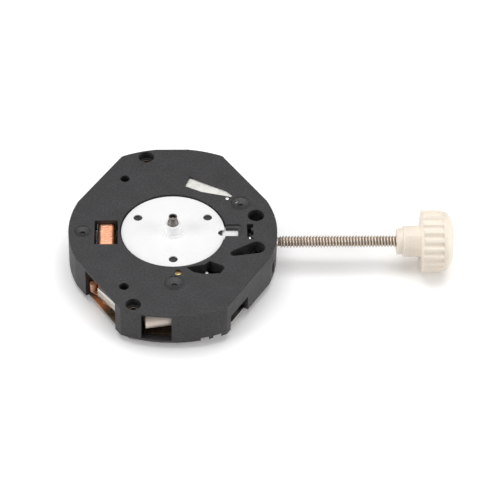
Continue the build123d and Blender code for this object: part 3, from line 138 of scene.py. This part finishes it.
# Crown: the same, with a groove's flank in shares of half its width and its turn in degrees
CROWN_CORNERS = (
    (16.49, 0.46), (16.491, 0.9), (16.52, 0.94), (16.56, 0.97), (16.9, 0.97), (16.94, 0.96),
    (16.95, 0.95), (16.96, 1.12), (17.0, 1.17), (17.05, 1.19), (17.5, 1.19), (18.0, 1.19),
    (18.28, 1.19), (18.32, 1.22), (18.33, 1.9), (18.332, 2.29), (18.34, 2.325), (18.36, 2.34),
    (18.7, 2.34), (19.0, 2.34), (19.4, 2.34), (19.7, 2.34), (19.78, 2.33), (19.81, 2.3),
    (19.815, 2.2), (19.95, 2.19), (20.1, 2.15), (20.2, 2.09), (20.3, 2.0), (20.38, 1.9),
    (20.45, 1.78), (20.5, 1.66), (20.55, 1.5), (20.59, 1.3), (20.61, 1.1), (20.625, 0.7),
    (20.63, 0.1),
)
DRUM_START = 18.33
DRUM_END = 19.812
DRUM_GROOVES = 22
GROOVE_STEPS = 12
GROOVE_DEPTH = 0.2
GROOVE_FLANK = (0.28, 0.72)
GROOVE_TURN = 5.9
COLLAR_START = 16.99
COLLAR_END = 18.3
COLLAR_SIDES = 8
COLLAR_FLATNESS = 0.4

# Coil, in millimetres, wound along the Y axis
COIL_X, COIL_Y, COIL_Z = ((low + high) / 2 for low, high in zip(coil_low, coil_high))
COIL_HALF_WIDTH, COIL_HALF_LENGTH, COIL_HALF_HEIGHT = (
    (high - low) / 2 for low, high in zip(coil_low, coil_high)
)
COIL_AROUND = 56
COIL_TURN = 0.08
COIL_STEPS = 6
COIL_SQUARENESS = 6.0
COIL_INSET = 0.04
COIL_RIDGE = 0.018
COIL_SAG = 0.035
COIL_SAG_RATE = 0.9
COIL_UNEVEN = 0.012
COIL_UNEVEN_RATES = (2, 6, 2)
COIL_END_DROP = 0.06
COIL_END_RUN = 0.25

# Plus sign on the battery's can: (spread, rise) of its levels, in millimetres
PLUS_UNIT = 0.16
PLUS_OUTLINE = (
    (1, 5), (-1, 5), (-1, 1), (-5, 1), (-5, -1), (-1, -1),
    (-1, -5), (1, -5), (1, -1), (5, -1), (5, 1), (1, 1),
)
PLUS_LEVELS = ((0.0, 0.01), (0.0, -0.006), (0.02, -0.018))

# Floor: the points under a clamp, a foot and the crown in millimetres, half its side in metres
FLOOR_GAP = 0.01
UNDER_COVER = cover_low[2] - FLOOR_GAP
UNDER_CROWN = STEM_Z - max(radius for _, radius in CROWN_CORNERS) - FLOOR_GAP
FLOOR_POINTS = ((-2.44, 5.08, UNDER_COVER), (-3.65, -5.8, UNDER_COVER), (19.1, 0.0, UNDER_CROWN))
FLOOR_HALF = 1.2
FLOOR_SEEN = 1.15

# Light: place, target and size in metres, power in watts
WORLD_LIGHT = 0.29
LAMPS = {
    "top_light": ((0.0, 0.1, 0.5), (0.004, 0, 0), (0.5, 0.4), 1.75),
    "left_light": ((-0.43, -0.13, 0.13), (0, 0, 0), (0.3, 0.3), 1.35),
    "right_light": ((0.46, -0.13, 0.13), (0.01, 0, 0), (0.3, 0.3), 1.27),
}

# The photograph's view: angles in degrees, distance and sensor in millimetres, clipping in
# metres, and the focal length, the part's origin and the picture's side in pixels
VIEW_AZIMUTH = -2.901
VIEW_ELEVATION = 43.413
VIEW_ROLL = 1.703
VIEW_DISTANCE = 180.0
VIEW_FOCAL = 2458.3
VIEW_ORIGIN = (172.95, 229.69)
VIEW_SIDE = 500.0
SENSOR_WIDTH = 36.0
CLIP_RANGE = (0.01, 10.0)


# Procedural surfaces


class Surface:
    """A node material whose textures are measured in millimetres of the part"""

    def __init__(self, name, rough, metallic=0.0):
        self.material = bpy.data.materials.new(name)
        self.material.use_nodes = True
        self.nodes = self.material.node_tree.nodes
        self.links = self.material.node_tree.links
        self.shader = self.nodes["Principled BSDF"]
        self.set(self.shader, {"Metallic": metallic, "Roughness": rough})
        self.space = self.stretched(NO_STRETCH)
        self.normal = None

    def set(self, node, values):
        for socket, value in values.items():
            node.inputs[socket].default_value = value

    def node(self, kind, values, vector=None):
        """A new node with values for its sockets, and a link into its first vector socket"""
        node = self.nodes.new(kind)
        self.set(node, values)
        if vector is not None:
            self.links.new(vector, node.inputs["Vector"])
        return node

    def stretched(self, stretch):
        """The part's own millimetres, each axis times its stretch"""
        coords = self.nodes.new("ShaderNodeTexCoord")
        scale = [PER_METRE * share for share in stretch]
        mapping = self.node("ShaderNodeMapping", {"Scale": scale}, coords.outputs["Object"])
        return mapping.outputs["Vector"]

    def noise(self, size, detail=3.0, space=None):
        values = {"Scale": 1.0 / size, "Detail": detail, "Roughness": 0.55}
        return self.node("ShaderNodeTexNoise", values, space or self.space).outputs["Fac"]

    def ranged(self, value, source, target):
        """A value moved from one range to another, and held inside it"""
        node = self.nodes.new("ShaderNodeMapRange")
        self.set(node, dict(zip(("From Min", "From Max", "To Min", "To Max"), source + target)))
        self.links.new(value, node.inputs["Value"])
        return node.outputs["Result"]

    def patches(self, size, target=(0.0, 1.0)):
        """Soft patches of a size, with values all over a range"""
        return self.ranged(self.noise(size), NOISE_RANGE, target)

    def mixed(self, value, one, two):
        """A colour between two, chosen by a value; either may be a colour or a socket"""
        node = self.nodes.new("ShaderNodeMix")
        node.data_type = "RGBA"
        self.links.new(value, node.inputs[MIX_FACTOR])
        for index, colour in zip(MIX_COLOURS, (one, two)):
            if isinstance(colour, bpy.types.NodeSocket):
                self.links.new(colour, node.inputs[index])
            else:
                node.inputs[index].default_value = (*colour, 1.0)
        return node.outputs[MIX_RESULT]

    def mottled(self, size, colour, down, up):
        """A colour in soft patches, from a darker to a lighter tint"""
        return self.mixed(self.patches(size), tint(colour, down), tint(colour, up))

    def colour(self, socket):
        self.links.new(socket, self.shader.inputs["Base Color"])

    def rough(self, socket):
        self.links.new(socket, self.shader.inputs["Roughness"])

    def coat(self, weight, rough):
        self.set(self.shader, {"Coat Weight": weight, "Coat Roughness": rough})

    def bump(self, height, depth, strength=1.0):
        """A bump of a depth in millimetres, on top of those before it"""
        node = self.node("ShaderNodeBump", {"Distance": depth * MM, "Strength": strength})
        self.links.new(height, node.inputs["Height"])
        if self.normal is not None:
            self.links.new(self.normal, node.inputs["Normal"])
        self.normal = node.outputs["Normal"]
        self.links.new(self.normal, self.shader.inputs["Normal"])


def tint(colour, amount):
    return tuple(min(1.0, channel * amount) for channel in colour)


def plastic(name, colour, rough, mottle, grain, depth, specks=0.0):
    """Moulded plastic: soft mottling, a fine grain and a few pale specks of dust"""
    s = Surface(name, rough)
    base = s.mottled(PLASTIC_PATCH, colour, 1 - mottle, 1 + mottle)
    pits = s.ranged(s.noise(grain * 2.2, detail=1.0), GRAIN_RANGE, (0.0, mottle * 3.5))
    base = s.mixed(pits, base, tint(colour, 0.35))
    if specks:
        dust = s.ranged(s.noise(DUST_SIZE, detail=2.0), DUST_RANGE, (0.0, specks))
        base = s.mixed(dust, base, DUST)
    s.colour(base)
    s.rough(s.patches(PLASTIC_SHEEN, (rough - 0.06, rough + 0.06)))
    s.bump(s.noise(grain, detail=2.0), depth)
    s.bump(s.noise(PLASTIC_WAVE, detail=2.0), depth * 4, strength=0.5)
    return s.material


def metal(name, colour, rough, mottle, brushed, depth, stain=None, metallic=1.0):
    """Bare or plated metal: turned or brushed lines, patches of duller and darker metal"""
    s = Surface(name, rough, metallic)
    base = s.mottled(METAL_PATCH, colour, 1 - mottle, 1 + mottle)
    if stain:
        spots = s.ranged(s.noise(STAIN_SIZE), STAIN_RANGE, (0.0, 0.6))
        base = s.mixed(spots, base, stain)
    s.colour(base)
    s.rough(s.patches(METAL_SHEEN, (rough * 0.75, rough * 1.3)))
    s.bump(s.noise(METAL_LINE, detail=1.0, space=s.stretched(brushed)), depth * 0.3)
    s.bump(s.noise(METAL_PATCH, detail=2.0), depth * 2, strength=0.6)
    return s.material


def thread_metal():
    """Steel of the stem, with painted shade darkening the duller roots of its thread"""
    s = Surface("stem_steel", 0.34, 0.9)
    section = {1: (0.0, 1.0, 1.0), 2: (0.0, 0.0, -STEM_Z)}
    across = s.node("ShaderNodeVectorMath", section, s.space)
    across.operation = "MULTIPLY_ADD"
    length = s.node("ShaderNodeVectorMath", {}, across.outputs["Vector"])
    length.operation = "LENGTH"
    radius = length.outputs["Value"]
    base = s.mottled(STEM_PATCH, (0.92, 0.82, 0.73), 0.86, 1.12)
    # painted shade: the stem's colour darkens towards the roots of its thread
    s.colour(s.mixed(s.ranged(radius, ROOT_SHADE_RADII, (1.0, 0.0)), base, ROOT_SHADE))
    s.rough(s.ranged(radius, DULL_RADII, (0.55, 0.27)))
    s.bump(s.noise(FINE_GRAIN, detail=2.0), 0.0015)
    return s.material


def copper_wire():
    """Enamelled copper in uneven bands across the coil, with darker patches"""
    s = Surface("copper_wire", 0.34, 0.85)
    s.coat(0.35, 0.25)
    values = {"Scale": 1.3, "Distortion": 1.6, "Detail": 3.0, "Detail Scale": 3.0}
    wave = s.node("ShaderNodeTexWave", values, s.space)
    wave.bands_direction = "Y"
    base = s.mixed(wave.outputs["Fac"], (0.80, 0.34, 0.19), (0.95, 0.50, 0.32))
    tarnish = s.ranged(s.noise(WIRE_PATCH), TARNISH_RANGE, (0.0, 0.5))
    s.colour(s.mixed(tarnish, base, (0.42, 0.13, 0.05)))
    s.rough(s.patches(WIRE_SHEEN, (0.26, 0.44)))
    s.bump(s.noise(FINE_GRAIN, detail=2.0, space=s.stretched((0.2, 1.0, 1.0))), 0.008)
    return s.material


def board(name, colour, track, copper_and_reflection, place, reach):
    """A printed board: mask over copper tracks, and a bare copper area round a place that also
    paints a copper reflection
    """
    s = Surface(name, 0.38)
    s.coat(0.4, 0.2)
    values = {"Scale": 1.1, "Mortar Size": 0.05, "Brick Width": 1.7, "Row Height": 0.6}
    brick = s.node("ShaderNodeTexBrick", values, s.space)
    base = s.mixed(brick.outputs["Fac"], colour, track)
    smudge = s.ranged(s.noise(BOARD_PATCH), SMUDGE_RANGE, (0.0, 0.35))
    base = s.mixed(smudge, base, tint(colour, 0.6))
    away = s.node("ShaderNodeVectorMath", {1: place}, s.space)
    away.operation = "DISTANCE"
    copper_and_reflection_share = s.ranged(away.outputs["Value"], (reach * 0.35, reach), (1.0, 0.0))
    # partly bare copper, partly a painted reflection: the board turns copper-coloured in a soft
    # fade round the place
    s.colour(s.mixed(copper_and_reflection_share, base, copper_and_reflection))
    s.rough(s.patches(BOARD_SHEEN, (0.3, 0.48)))
    s.bump(brick.outputs["Fac"], 0.01)
    s.bump(s.noise(FILM_GRAIN, detail=2.0), 0.003)
    return s.material


# Plastics: colour, roughness, mottling, size and depth of the grain, specks of dust
black = plastic("black_moulding", (0.039, 0.0372, 0.0401), 0.48, 0.18, 0.07, 0.008, 0.2)
white = plastic("white_moulding", (0.91, 0.91, 0.91), 0.36, 0.015, 0.06, 0.001)
cream = plastic("cream_moulding", (0.915, 0.83, 0.72), 0.42, 0.02, 0.07, 0.003)
dark = plastic("dark_moulding", (0.035, 0.035, 0.038), 0.42, 0.12, 0.05, 0.003)
jewel = plastic("synthetic_ruby", (0.42, 0.02, 0.07), 0.14, 0.1, 0.3, 0.001)

# Metals: colour, roughness, mottling, stretch and depth of the brushed lines, stain
steel = metal("drawn_steel", (0.56, 0.55, 0.53), 0.32, 0.1, (0.12, 1.0, 1.0), 0.003)
pipe_steel = metal("pipe_steel", (0.26, 0.24, 0.23), 0.30, 0.15, (0.1, 0.1, 1.0), 0.002)
cover_steel = metal("cover_steel", (0.62, 0.61, 0.59), 0.36, 0.07, (1.0, 0.06, 1.0), 0.003)
can_steel = metal("can_steel", (0.66, 0.65, 0.62), 0.27, 0.06, (1.0, 1.0, 0.1), 0.002)
nickel = metal("nickel_plate", (0.74, 0.71, 0.64), 0.28, 0.08, (0.1, 1.0, 1.0), 0.002)
# painted shade: the cover nuts' bronze is darkened nearly to black, standing in for the shade
# inside their deep holes
painted_shade_bronze = metal("bronze_painted_shade", (0.11, 0.085, 0.07), 0.40, 0.15, (1.0, 1.0, 0.1), 0.002)
magnet = metal("sintered_magnet", (0.18, 0.18, 0.19), 0.45, 0.2, NO_STRETCH, 0.006)
brass = metal(
    "brass", (0.78, 0.57, 0.24), 0.28, 0.10, (1.0, 1.0, 0.2), 0.002, stain=(0.45, 0.28, 0.10)
)

# Duller metals, which mirror less of the studio
crystal_metal = metal(
    "crystal_can", (0.76, 0.67, 0.60), 0.42, 0.04, (0.1, 1.0, 1.0), 0.001, metallic=0.7
)
core_metal = metal(
    "core_steel", (0.80, 0.77, 0.72), 0.42, 0.05, NO_STRETCH, 0.001, metallic=0.6
)
terminal_metal = metal(
    "terminal_plate", (0.90, 0.89, 0.85), 0.46, 0.04, (1.0, 0.12, 1.0), 0.001, metallic=0.5
)
tinned_metal = metal(
    "tinned_metal", (0.92, 0.91, 0.87), 0.3, 0.03, NO_STRETCH, 0.001, metallic=0.35
)
stem_steel = thread_metal()
copper = copper_wire()

# Boards: colours of mask, tracks and the bare area, which is partly a painted copper reflection,
# then the area's middle and reach
lead_film = board(
    "lead_film", (0.33, 0.12, 0.045), (0.45, 0.20, 0.085), (0.50, 0.24, 0.15),
    (-5.79, -4.15, -1.6), 0.6,
)
circuit_film = board(
    "circuit_film", (0.07, 0.045, 0.028), (0.16, 0.10, 0.05), (0.50, 0.19, 0.08),
    (-5.2, -4.9, -2.5), 1.1,
)

# Each surface with its nodes, and the rounding of their edges in millimetres
LOOKS = (
    (black, {"main_plate": 0.035}),
    (white, {"hour_wheel": 0.018, "setting_wheel": 0.012, "setting_wheel_guard": 0.01}),
    (dark, {"chip": 0.04, "battery_gasket": 0.02}),
    (jewel, {"rotor_jewel": 0.02}),
    (steel, {
        "third_pinion": 0.006, "fifth_pinion": 0.006, "rotor_pinion": 0.006,
        "clutch_wheel": 0.012, "yoke": 0.012, "setting_lever": 0.012, "keyless_cover": 0.012,
        "stop_lever": 0.01, "crystal_leads": 0.0, "cover_screws": 0.025, "bridge_screws": 0.015,
        "coil_screws": 0.02, "keyless_screws": 0.015,
    }),
    (pipe_steel, {"minute_pipe": 0.02, "second_arbor": 0.012}),
    (cover_steel, {"circuit_cover": 0.018}),
    (can_steel, {"battery_can": 0.0, "battery_cap": 0.0}),
    (nickel, {"stator": 0.02, "train_bridge": 0.02}),
    (painted_shade_bronze, {"cover_nuts": 0.03}),
    (magnet, {"rotor_magnet": 0.02}),
    (brass, {
        "centre_wheel": 0.01, "second_wheel": 0.006, "third_wheel": 0.006, "fifth_wheel": 0.006,
        "minute_wheel": 0.01, "bridge_nuts": 0.025, "coil_nuts": 0.025,
    }),
    (crystal_metal, {"quartz_crystal": 0.0}),
    (core_metal, {"coil_core": 0.02}),
    (terminal_metal, {"minus_terminal": 0.012}),
    (tinned_metal, {"contact_pin": 0.0}),
    (lead_film, {"coil_lead_board": 0.01}),
    (circuit_film, {"circuit_board": 0.012}),
)


def smooth_group():
    """A modifier group that shades every face smooth, so the mesh itself is left alone"""
    group = bpy.data.node_groups.new("shade_smooth", "GeometryNodeTree")
    for way in ("INPUT", "OUTPUT"):
        group.interface.new_socket("Geometry", in_out=way, socket_type="NodeSocketGeometry")
    start = group.nodes.new("NodeGroupInput")
    shade = group.nodes.new("GeometryNodeSetShadeSmooth")
    end = group.nodes.new("NodeGroupOutput")
    group.links.new(start.outputs["Geometry"], shade.inputs["Geometry"])
    group.links.new(shade.outputs["Geometry"], end.inputs["Geometry"])
    return group


def smooth(obj, edge_angle):
    """Smooth shading, split at the edges that are sharper than an angle"""
    shade = obj.modifiers.new("shade", "NODES")
    shade.node_group = SMOOTH
    edges = obj.modifiers.new("normals", "EDGE_SPLIT")
    edges.split_angle = math.radians(edge_angle)
    edges.use_edge_sharp = False
    weighted = obj.modifiers.new("weighted", "WEIGHTED_NORMAL")
    weighted.mode = "FACE_AREA"
    weighted.weight = FACE_WEIGHT


def dress(name, material, rounding):
    """Gives a CAD node its surface, with its edges slightly rounded"""
    obj = NODES[name]
    if not obj.material_slots:
        obj.data.materials.append(material)
    for place in obj.material_slots:
        place.material = material
    weld = obj.modifiers.new("weld", "WELD")
    weld.merge_threshold = WELD_DISTANCE
    if rounding:
        flat = obj.modifiers.new("flat", "DECIMATE")
        flat.decimate_type = "DISSOLVE"
        flat.angle_limit = math.radians(FLAT_ANGLE)
        soft = obj.modifiers.new("edge", "BEVEL")
        soft.width = rounding * MM
        soft.segments = EDGE_SEGMENTS
        soft.limit_method = "ANGLE"
        soft.angle_limit = math.radians(NODE_EDGE_ANGLE)
    smooth(obj, NODE_EDGE_ANGLE)


SMOOTH = smooth_group()
for look, roundings in LOOKS:
    for node_name, node_rounding in roundings.items():
        dress(node_name, look, node_rounding)


# Pieces made in mesh code


def placed(name, data):
    obj = bpy.data.objects.new(name, data)
    bpy.context.scene.collection.objects.link(obj)
    return obj


def piece(name, shape, material, body, replaced, place=Matrix.Identity(4)):
    """A visible piece from points in millimetres and faces, on a body of the part"""
    points, faces = shape
    mesh = bpy.data.meshes.new(name)
    mesh.from_pydata([place @ (Vector(point) * MM) for point in points], [], faces)
    mesh.validate()
    mesh.update()
    mesh.materials.append(material)
    obj = placed(name, mesh)
    smooth(obj, PIECE_EDGE_ANGLE)
    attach(obj, body)
    if replaced:
        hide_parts(*replaced)


def between(value, low, high):
    """A smooth step from 0 at low to 1 at high"""
    t = min(1.0, max(0.0, (value - low) / (high - low)))
    return t * t * (3 - 2 * t)


def radius_on(corners, x):
    """The radius at x, on the line through corners of (x, radius)"""
    for (x0, r0), (x1, r1) in zip(corners, corners[1:]):
        if x <= x1:
            break
    return r0 + (r1 - r0) * (x - x0) / (x1 - x0)


def ring_pairs(rings, around):
    """Neighbouring points on each ring but the last, as pairs of indices"""
    for ring in range(rings - 1):
        for k in range(around):
            yield ring * around + k, ring * around + (k + 1) % around


def turned(stations, radius_at, around):
    """A closed skin round the X axis, its radius given for each station and angle"""
    points = []
    for x in stations:
        for k in range(around):
            angle = 2 * math.pi * k / around
            r = radius_at(x, angle)
            points.append((x, r * math.cos(angle), r * math.sin(angle)))
    rings = len(stations)
    faces = [(a, b, b + around, a + around) for a, b in ring_pairs(rings, around)]
    faces.append(tuple(reversed(range(around))))
    faces.append(tuple(range((rings - 1) * around, rings * around)))
    return points, faces


def stem_radius(x, angle):
    """A square end with rounded corners, then the neck, then the thread"""
    if x <= SQUARE_END:
        return min(SQUARE_CORNER, SQUARE_HALF / max(abs(math.cos(angle)), abs(math.sin(angle))))
    if x < THREAD_START:
        return radius_on(NECK_CORNERS, x)
    turn = ((x - THREAD_START) / THREAD_PITCH - angle / (2 * math.pi)) % 1.0
    ridge = between(1 - abs(2 * turn - 1), *THREAD_FLANK)
    grown = between(x, THREAD_START, THREAD_START + THREAD_PITCH)
    return THREAD_ROOT + (THREAD_CREST - THREAD_ROOT) * ridge * grown


def crown_radius(x, angle):
    """A grooved drum behind a collar that has a hint of flats"""
    r = radius_on(CROWN_CORNERS, x)
    angle -= math.radians(GROOVE_TURN)
    if DRUM_START < x < DRUM_END:
        across = abs((angle * DRUM_GROOVES / (2 * math.pi)) % 1.0 - 0.5) * 2
        r -= GROOVE_DEPTH * (1 - between(across, *GROOVE_FLANK))
    if COLLAR_START < x < COLLAR_END:
        half = math.pi / COLLAR_SIDES
        flat = math.cos(half) / math.cos((angle + half) % (2 * half) - half)
        r *= 1 + (flat - 1) * COLLAR_FLATNESS
    return r


def threaded_stem():
    steps = int((THREAD_END - THREAD_START) / THREAD_PITCH * THREAD_STEPS)
    stations = [*SQUARE_STATIONS, *(x for x, _ in NECK_CORNERS if x < THREAD_START)]
    stations += [THREAD_START + THREAD_PITCH * k / THREAD_STEPS for k in range(steps + 1)]
    return turned(stations, stem_radius, STEM_AROUND)


def knurled_crown():
    return turned([x for x, _ in CROWN_CORNERS], crown_radius, GROOVE_STEPS * DRUM_GROOVES)


def wound_coil():
    """The coil's wire: a rounded square section with a ridge for each turn"""
    points = []
    rings = round(2 * COIL_HALF_LENGTH / COIL_TURN) * COIL_STEPS + 1
    rate_x, rate_y, rate_z = COIL_UNEVEN_RATES
    for ring in range(rings):
        y = COIL_HALF_LENGTH * (2 * ring / (rings - 1) - 1)
        ridge = abs(math.sin(math.pi * ring / COIL_STEPS))
        sag = COIL_SAG * noise.noise(Vector((0.0, y * COIL_SAG_RATE, 0.0)))
        end = COIL_END_DROP * (1 - between(COIL_HALF_LENGTH - abs(y), 0.0, COIL_END_RUN))
        for k in range(COIL_AROUND):
            angle = 2 * math.pi * k / COIL_AROUND
            c, s = math.cos(angle), math.sin(angle)
            r = (abs(c) ** COIL_SQUARENESS + abs(s) ** COIL_SQUARENESS) ** (-1 / COIL_SQUARENESS)
            uneven = COIL_UNEVEN * noise.noise(Vector((c * rate_x, y * rate_y, s * rate_z)))
            grown = -COIL_INSET - end + sag + uneven + COIL_RIDGE * ridge
            points.append((
                COIL_X + r * c * (COIL_HALF_WIDTH + grown),
                COIL_Y + y,
                COIL_Z + r * s * (COIL_HALF_HEIGHT + grown),
            ))
    pairs = ring_pairs(rings, COIL_AROUND)
    faces = [(a, a + COIL_AROUND, b + COIL_AROUND, b) for a, b in pairs]
    faces.append(tuple(range(COIL_AROUND)))
    faces.append(tuple(reversed(range((rings - 1) * COIL_AROUND, rings * COIL_AROUND))))
    return points, faces


def plus_sign():
    """The plus sign stamped on the battery's can: a low cross with sloping sides"""
    middle_x, middle_y = ((low + high) / 2 for low, high in zip(can_low[:2], can_high[:2]))
    points = []
    for spread, rise in PLUS_LEVELS:
        for u, v in PLUS_OUTLINE:
            points.append((
                middle_x + u * PLUS_UNIT - math.copysign(spread, u),
                middle_y + v * PLUS_UNIT - math.copysign(spread, v),
                can_low[2] + rise,
            ))
    around, rings = len(PLUS_OUTLINE), len(PLUS_LEVELS)
    top, bottom = range(around), range((rings - 1) * around, rings * around)
    faces = [tuple(top), tuple(reversed(bottom))]
    faces += [(b, a, a + around, b + around) for a, b in ring_pairs(rings, around)]
    return points, faces


on_stem = Matrix.Translation((0, 0, STEM_Z * MM))
piece(
    "threaded_stem", threaded_stem(), stem_steel, "winding_stem", ["stem"], on_stem
)
piece(
    "knurled_crown", knurled_crown(), cream, "winding_stem", ["crown"], on_stem
)
piece("wound_coil", wound_coil(), copper, "movement", ["coil_winding"])
piece("battery_plus", plus_sign(), pipe_steel, "movement", [])


# Floor, light and camera


def floor():
    """A pale floor that the battery's clamps, a foot of the cover and the crown rest on"""
    first, second, third = (Vector(point) for point in FLOOR_POINTS)
    normal = (second - first).cross(third - first).normalized()
    side = Vector((1, 0, 0)).cross(normal).normalized()
    along = normal.cross(side).normalized()
    corners = [
        first * MM + along * FLOOR_HALF * a + side * FLOOR_HALF * b
        for a, b in ((-1, -1), (1, -1), (1, 1), (-1, 1))
    ]
    mesh = bpy.data.meshes.new("floor")
    mesh.from_pydata(corners, [], [(0, 1, 2, 3)])
    mesh.update()
    s = Surface("pale_floor", 0.6)
    s.set(s.shader, {"Specular IOR Level": 0.2})
    path = s.nodes.new("ShaderNodeLightPath")
    plain = s.mixed(s.patches(FLOOR_PATCH), (0.80, 0.795, 0.79), (0.82, 0.815, 0.81))
    s.colour(s.mixed(path.outputs["Is Camera Ray"], plain, (FLOOR_SEEN,) * 3))
    mesh.materials.append(s.material)
    obj = placed("floor", mesh)


def world():
    """White where the camera and glass see it, plain grey light elsewhere"""
    made = bpy.data.worlds.new("studio")
    bpy.context.scene.world = made
    made.use_nodes = True
    nodes, links = made.node_tree.nodes, made.node_tree.links
    background = nodes["Background"]
    background.inputs["Color"].default_value = (1.0, 1.0, 1.0, 1.0)
    path = nodes.new("ShaderNodeLightPath")
    either = nodes.new("ShaderNodeMath")
    either.operation = "MAXIMUM"
    links.new(path.outputs["Is Camera Ray"], either.inputs[0])
    links.new(path.outputs["Is Transmission Ray"], either.inputs[1])
    level = nodes.new("ShaderNodeMapRange")
    level.inputs["To Min"].default_value = WORLD_LIGHT
    level.inputs["To Max"].default_value = 1.0
    links.new(either.outputs["Value"], level.inputs["Value"])
    links.new(level.outputs["Result"], background.inputs["Strength"])


def lamp(name, place, target, size, power):
    data = bpy.data.lights.new(name, "AREA")
    data.shape = "RECTANGLE"
    data.size, data.size_y = size
    data.energy = power
    obj = placed(name, data)
    obj.location = Vector(place)
    obj.rotation_mode = "QUATERNION"
    obj.rotation_quaternion = (Vector(target) - Vector(place)).to_track_quat("-Z", "Y")


def camera():
    """The photograph's camera, moved across until the part's origin shows at its place"""
    azimuth, elevation, roll = (
        math.radians(angle) for angle in (VIEW_AZIMUTH, VIEW_ELEVATION, VIEW_ROLL)
    )
    back = Vector((
        math.sin(azimuth) * math.cos(elevation),
        -math.cos(azimuth) * math.cos(elevation),
        math.sin(elevation),
    ))
    level = Vector((math.cos(azimuth), math.sin(azimuth), 0))
    upright = back.cross(level)
    right = level * math.cos(roll) + upright * math.sin(roll)
    up = upright * math.cos(roll) - level * math.sin(roll)
    across, down = (
        (pixel - VIEW_SIDE / 2) / VIEW_FOCAL * VIEW_DISTANCE for pixel in VIEW_ORIGIN
    )
    place = back * VIEW_DISTANCE - right * across + up * down
    data = bpy.data.cameras.new("camera")
    data.sensor_width = SENSOR_WIDTH
    data.lens = VIEW_FOCAL / VIEW_SIDE * SENSOR_WIDTH
    data.clip_start, data.clip_end = CLIP_RANGE
    obj = placed("camera", data)
    turn = Matrix((right, up, back)).transposed().to_4x4()
    obj.matrix_world = Matrix.Translation(place * MM) @ turn
    bpy.context.scene.camera = obj


floor()
world()
for lamp_name, settings in LAMPS.items():
    lamp(lamp_name, *settings)
camera()
bpy.context.scene.view_settings.view_transform = "Standard"
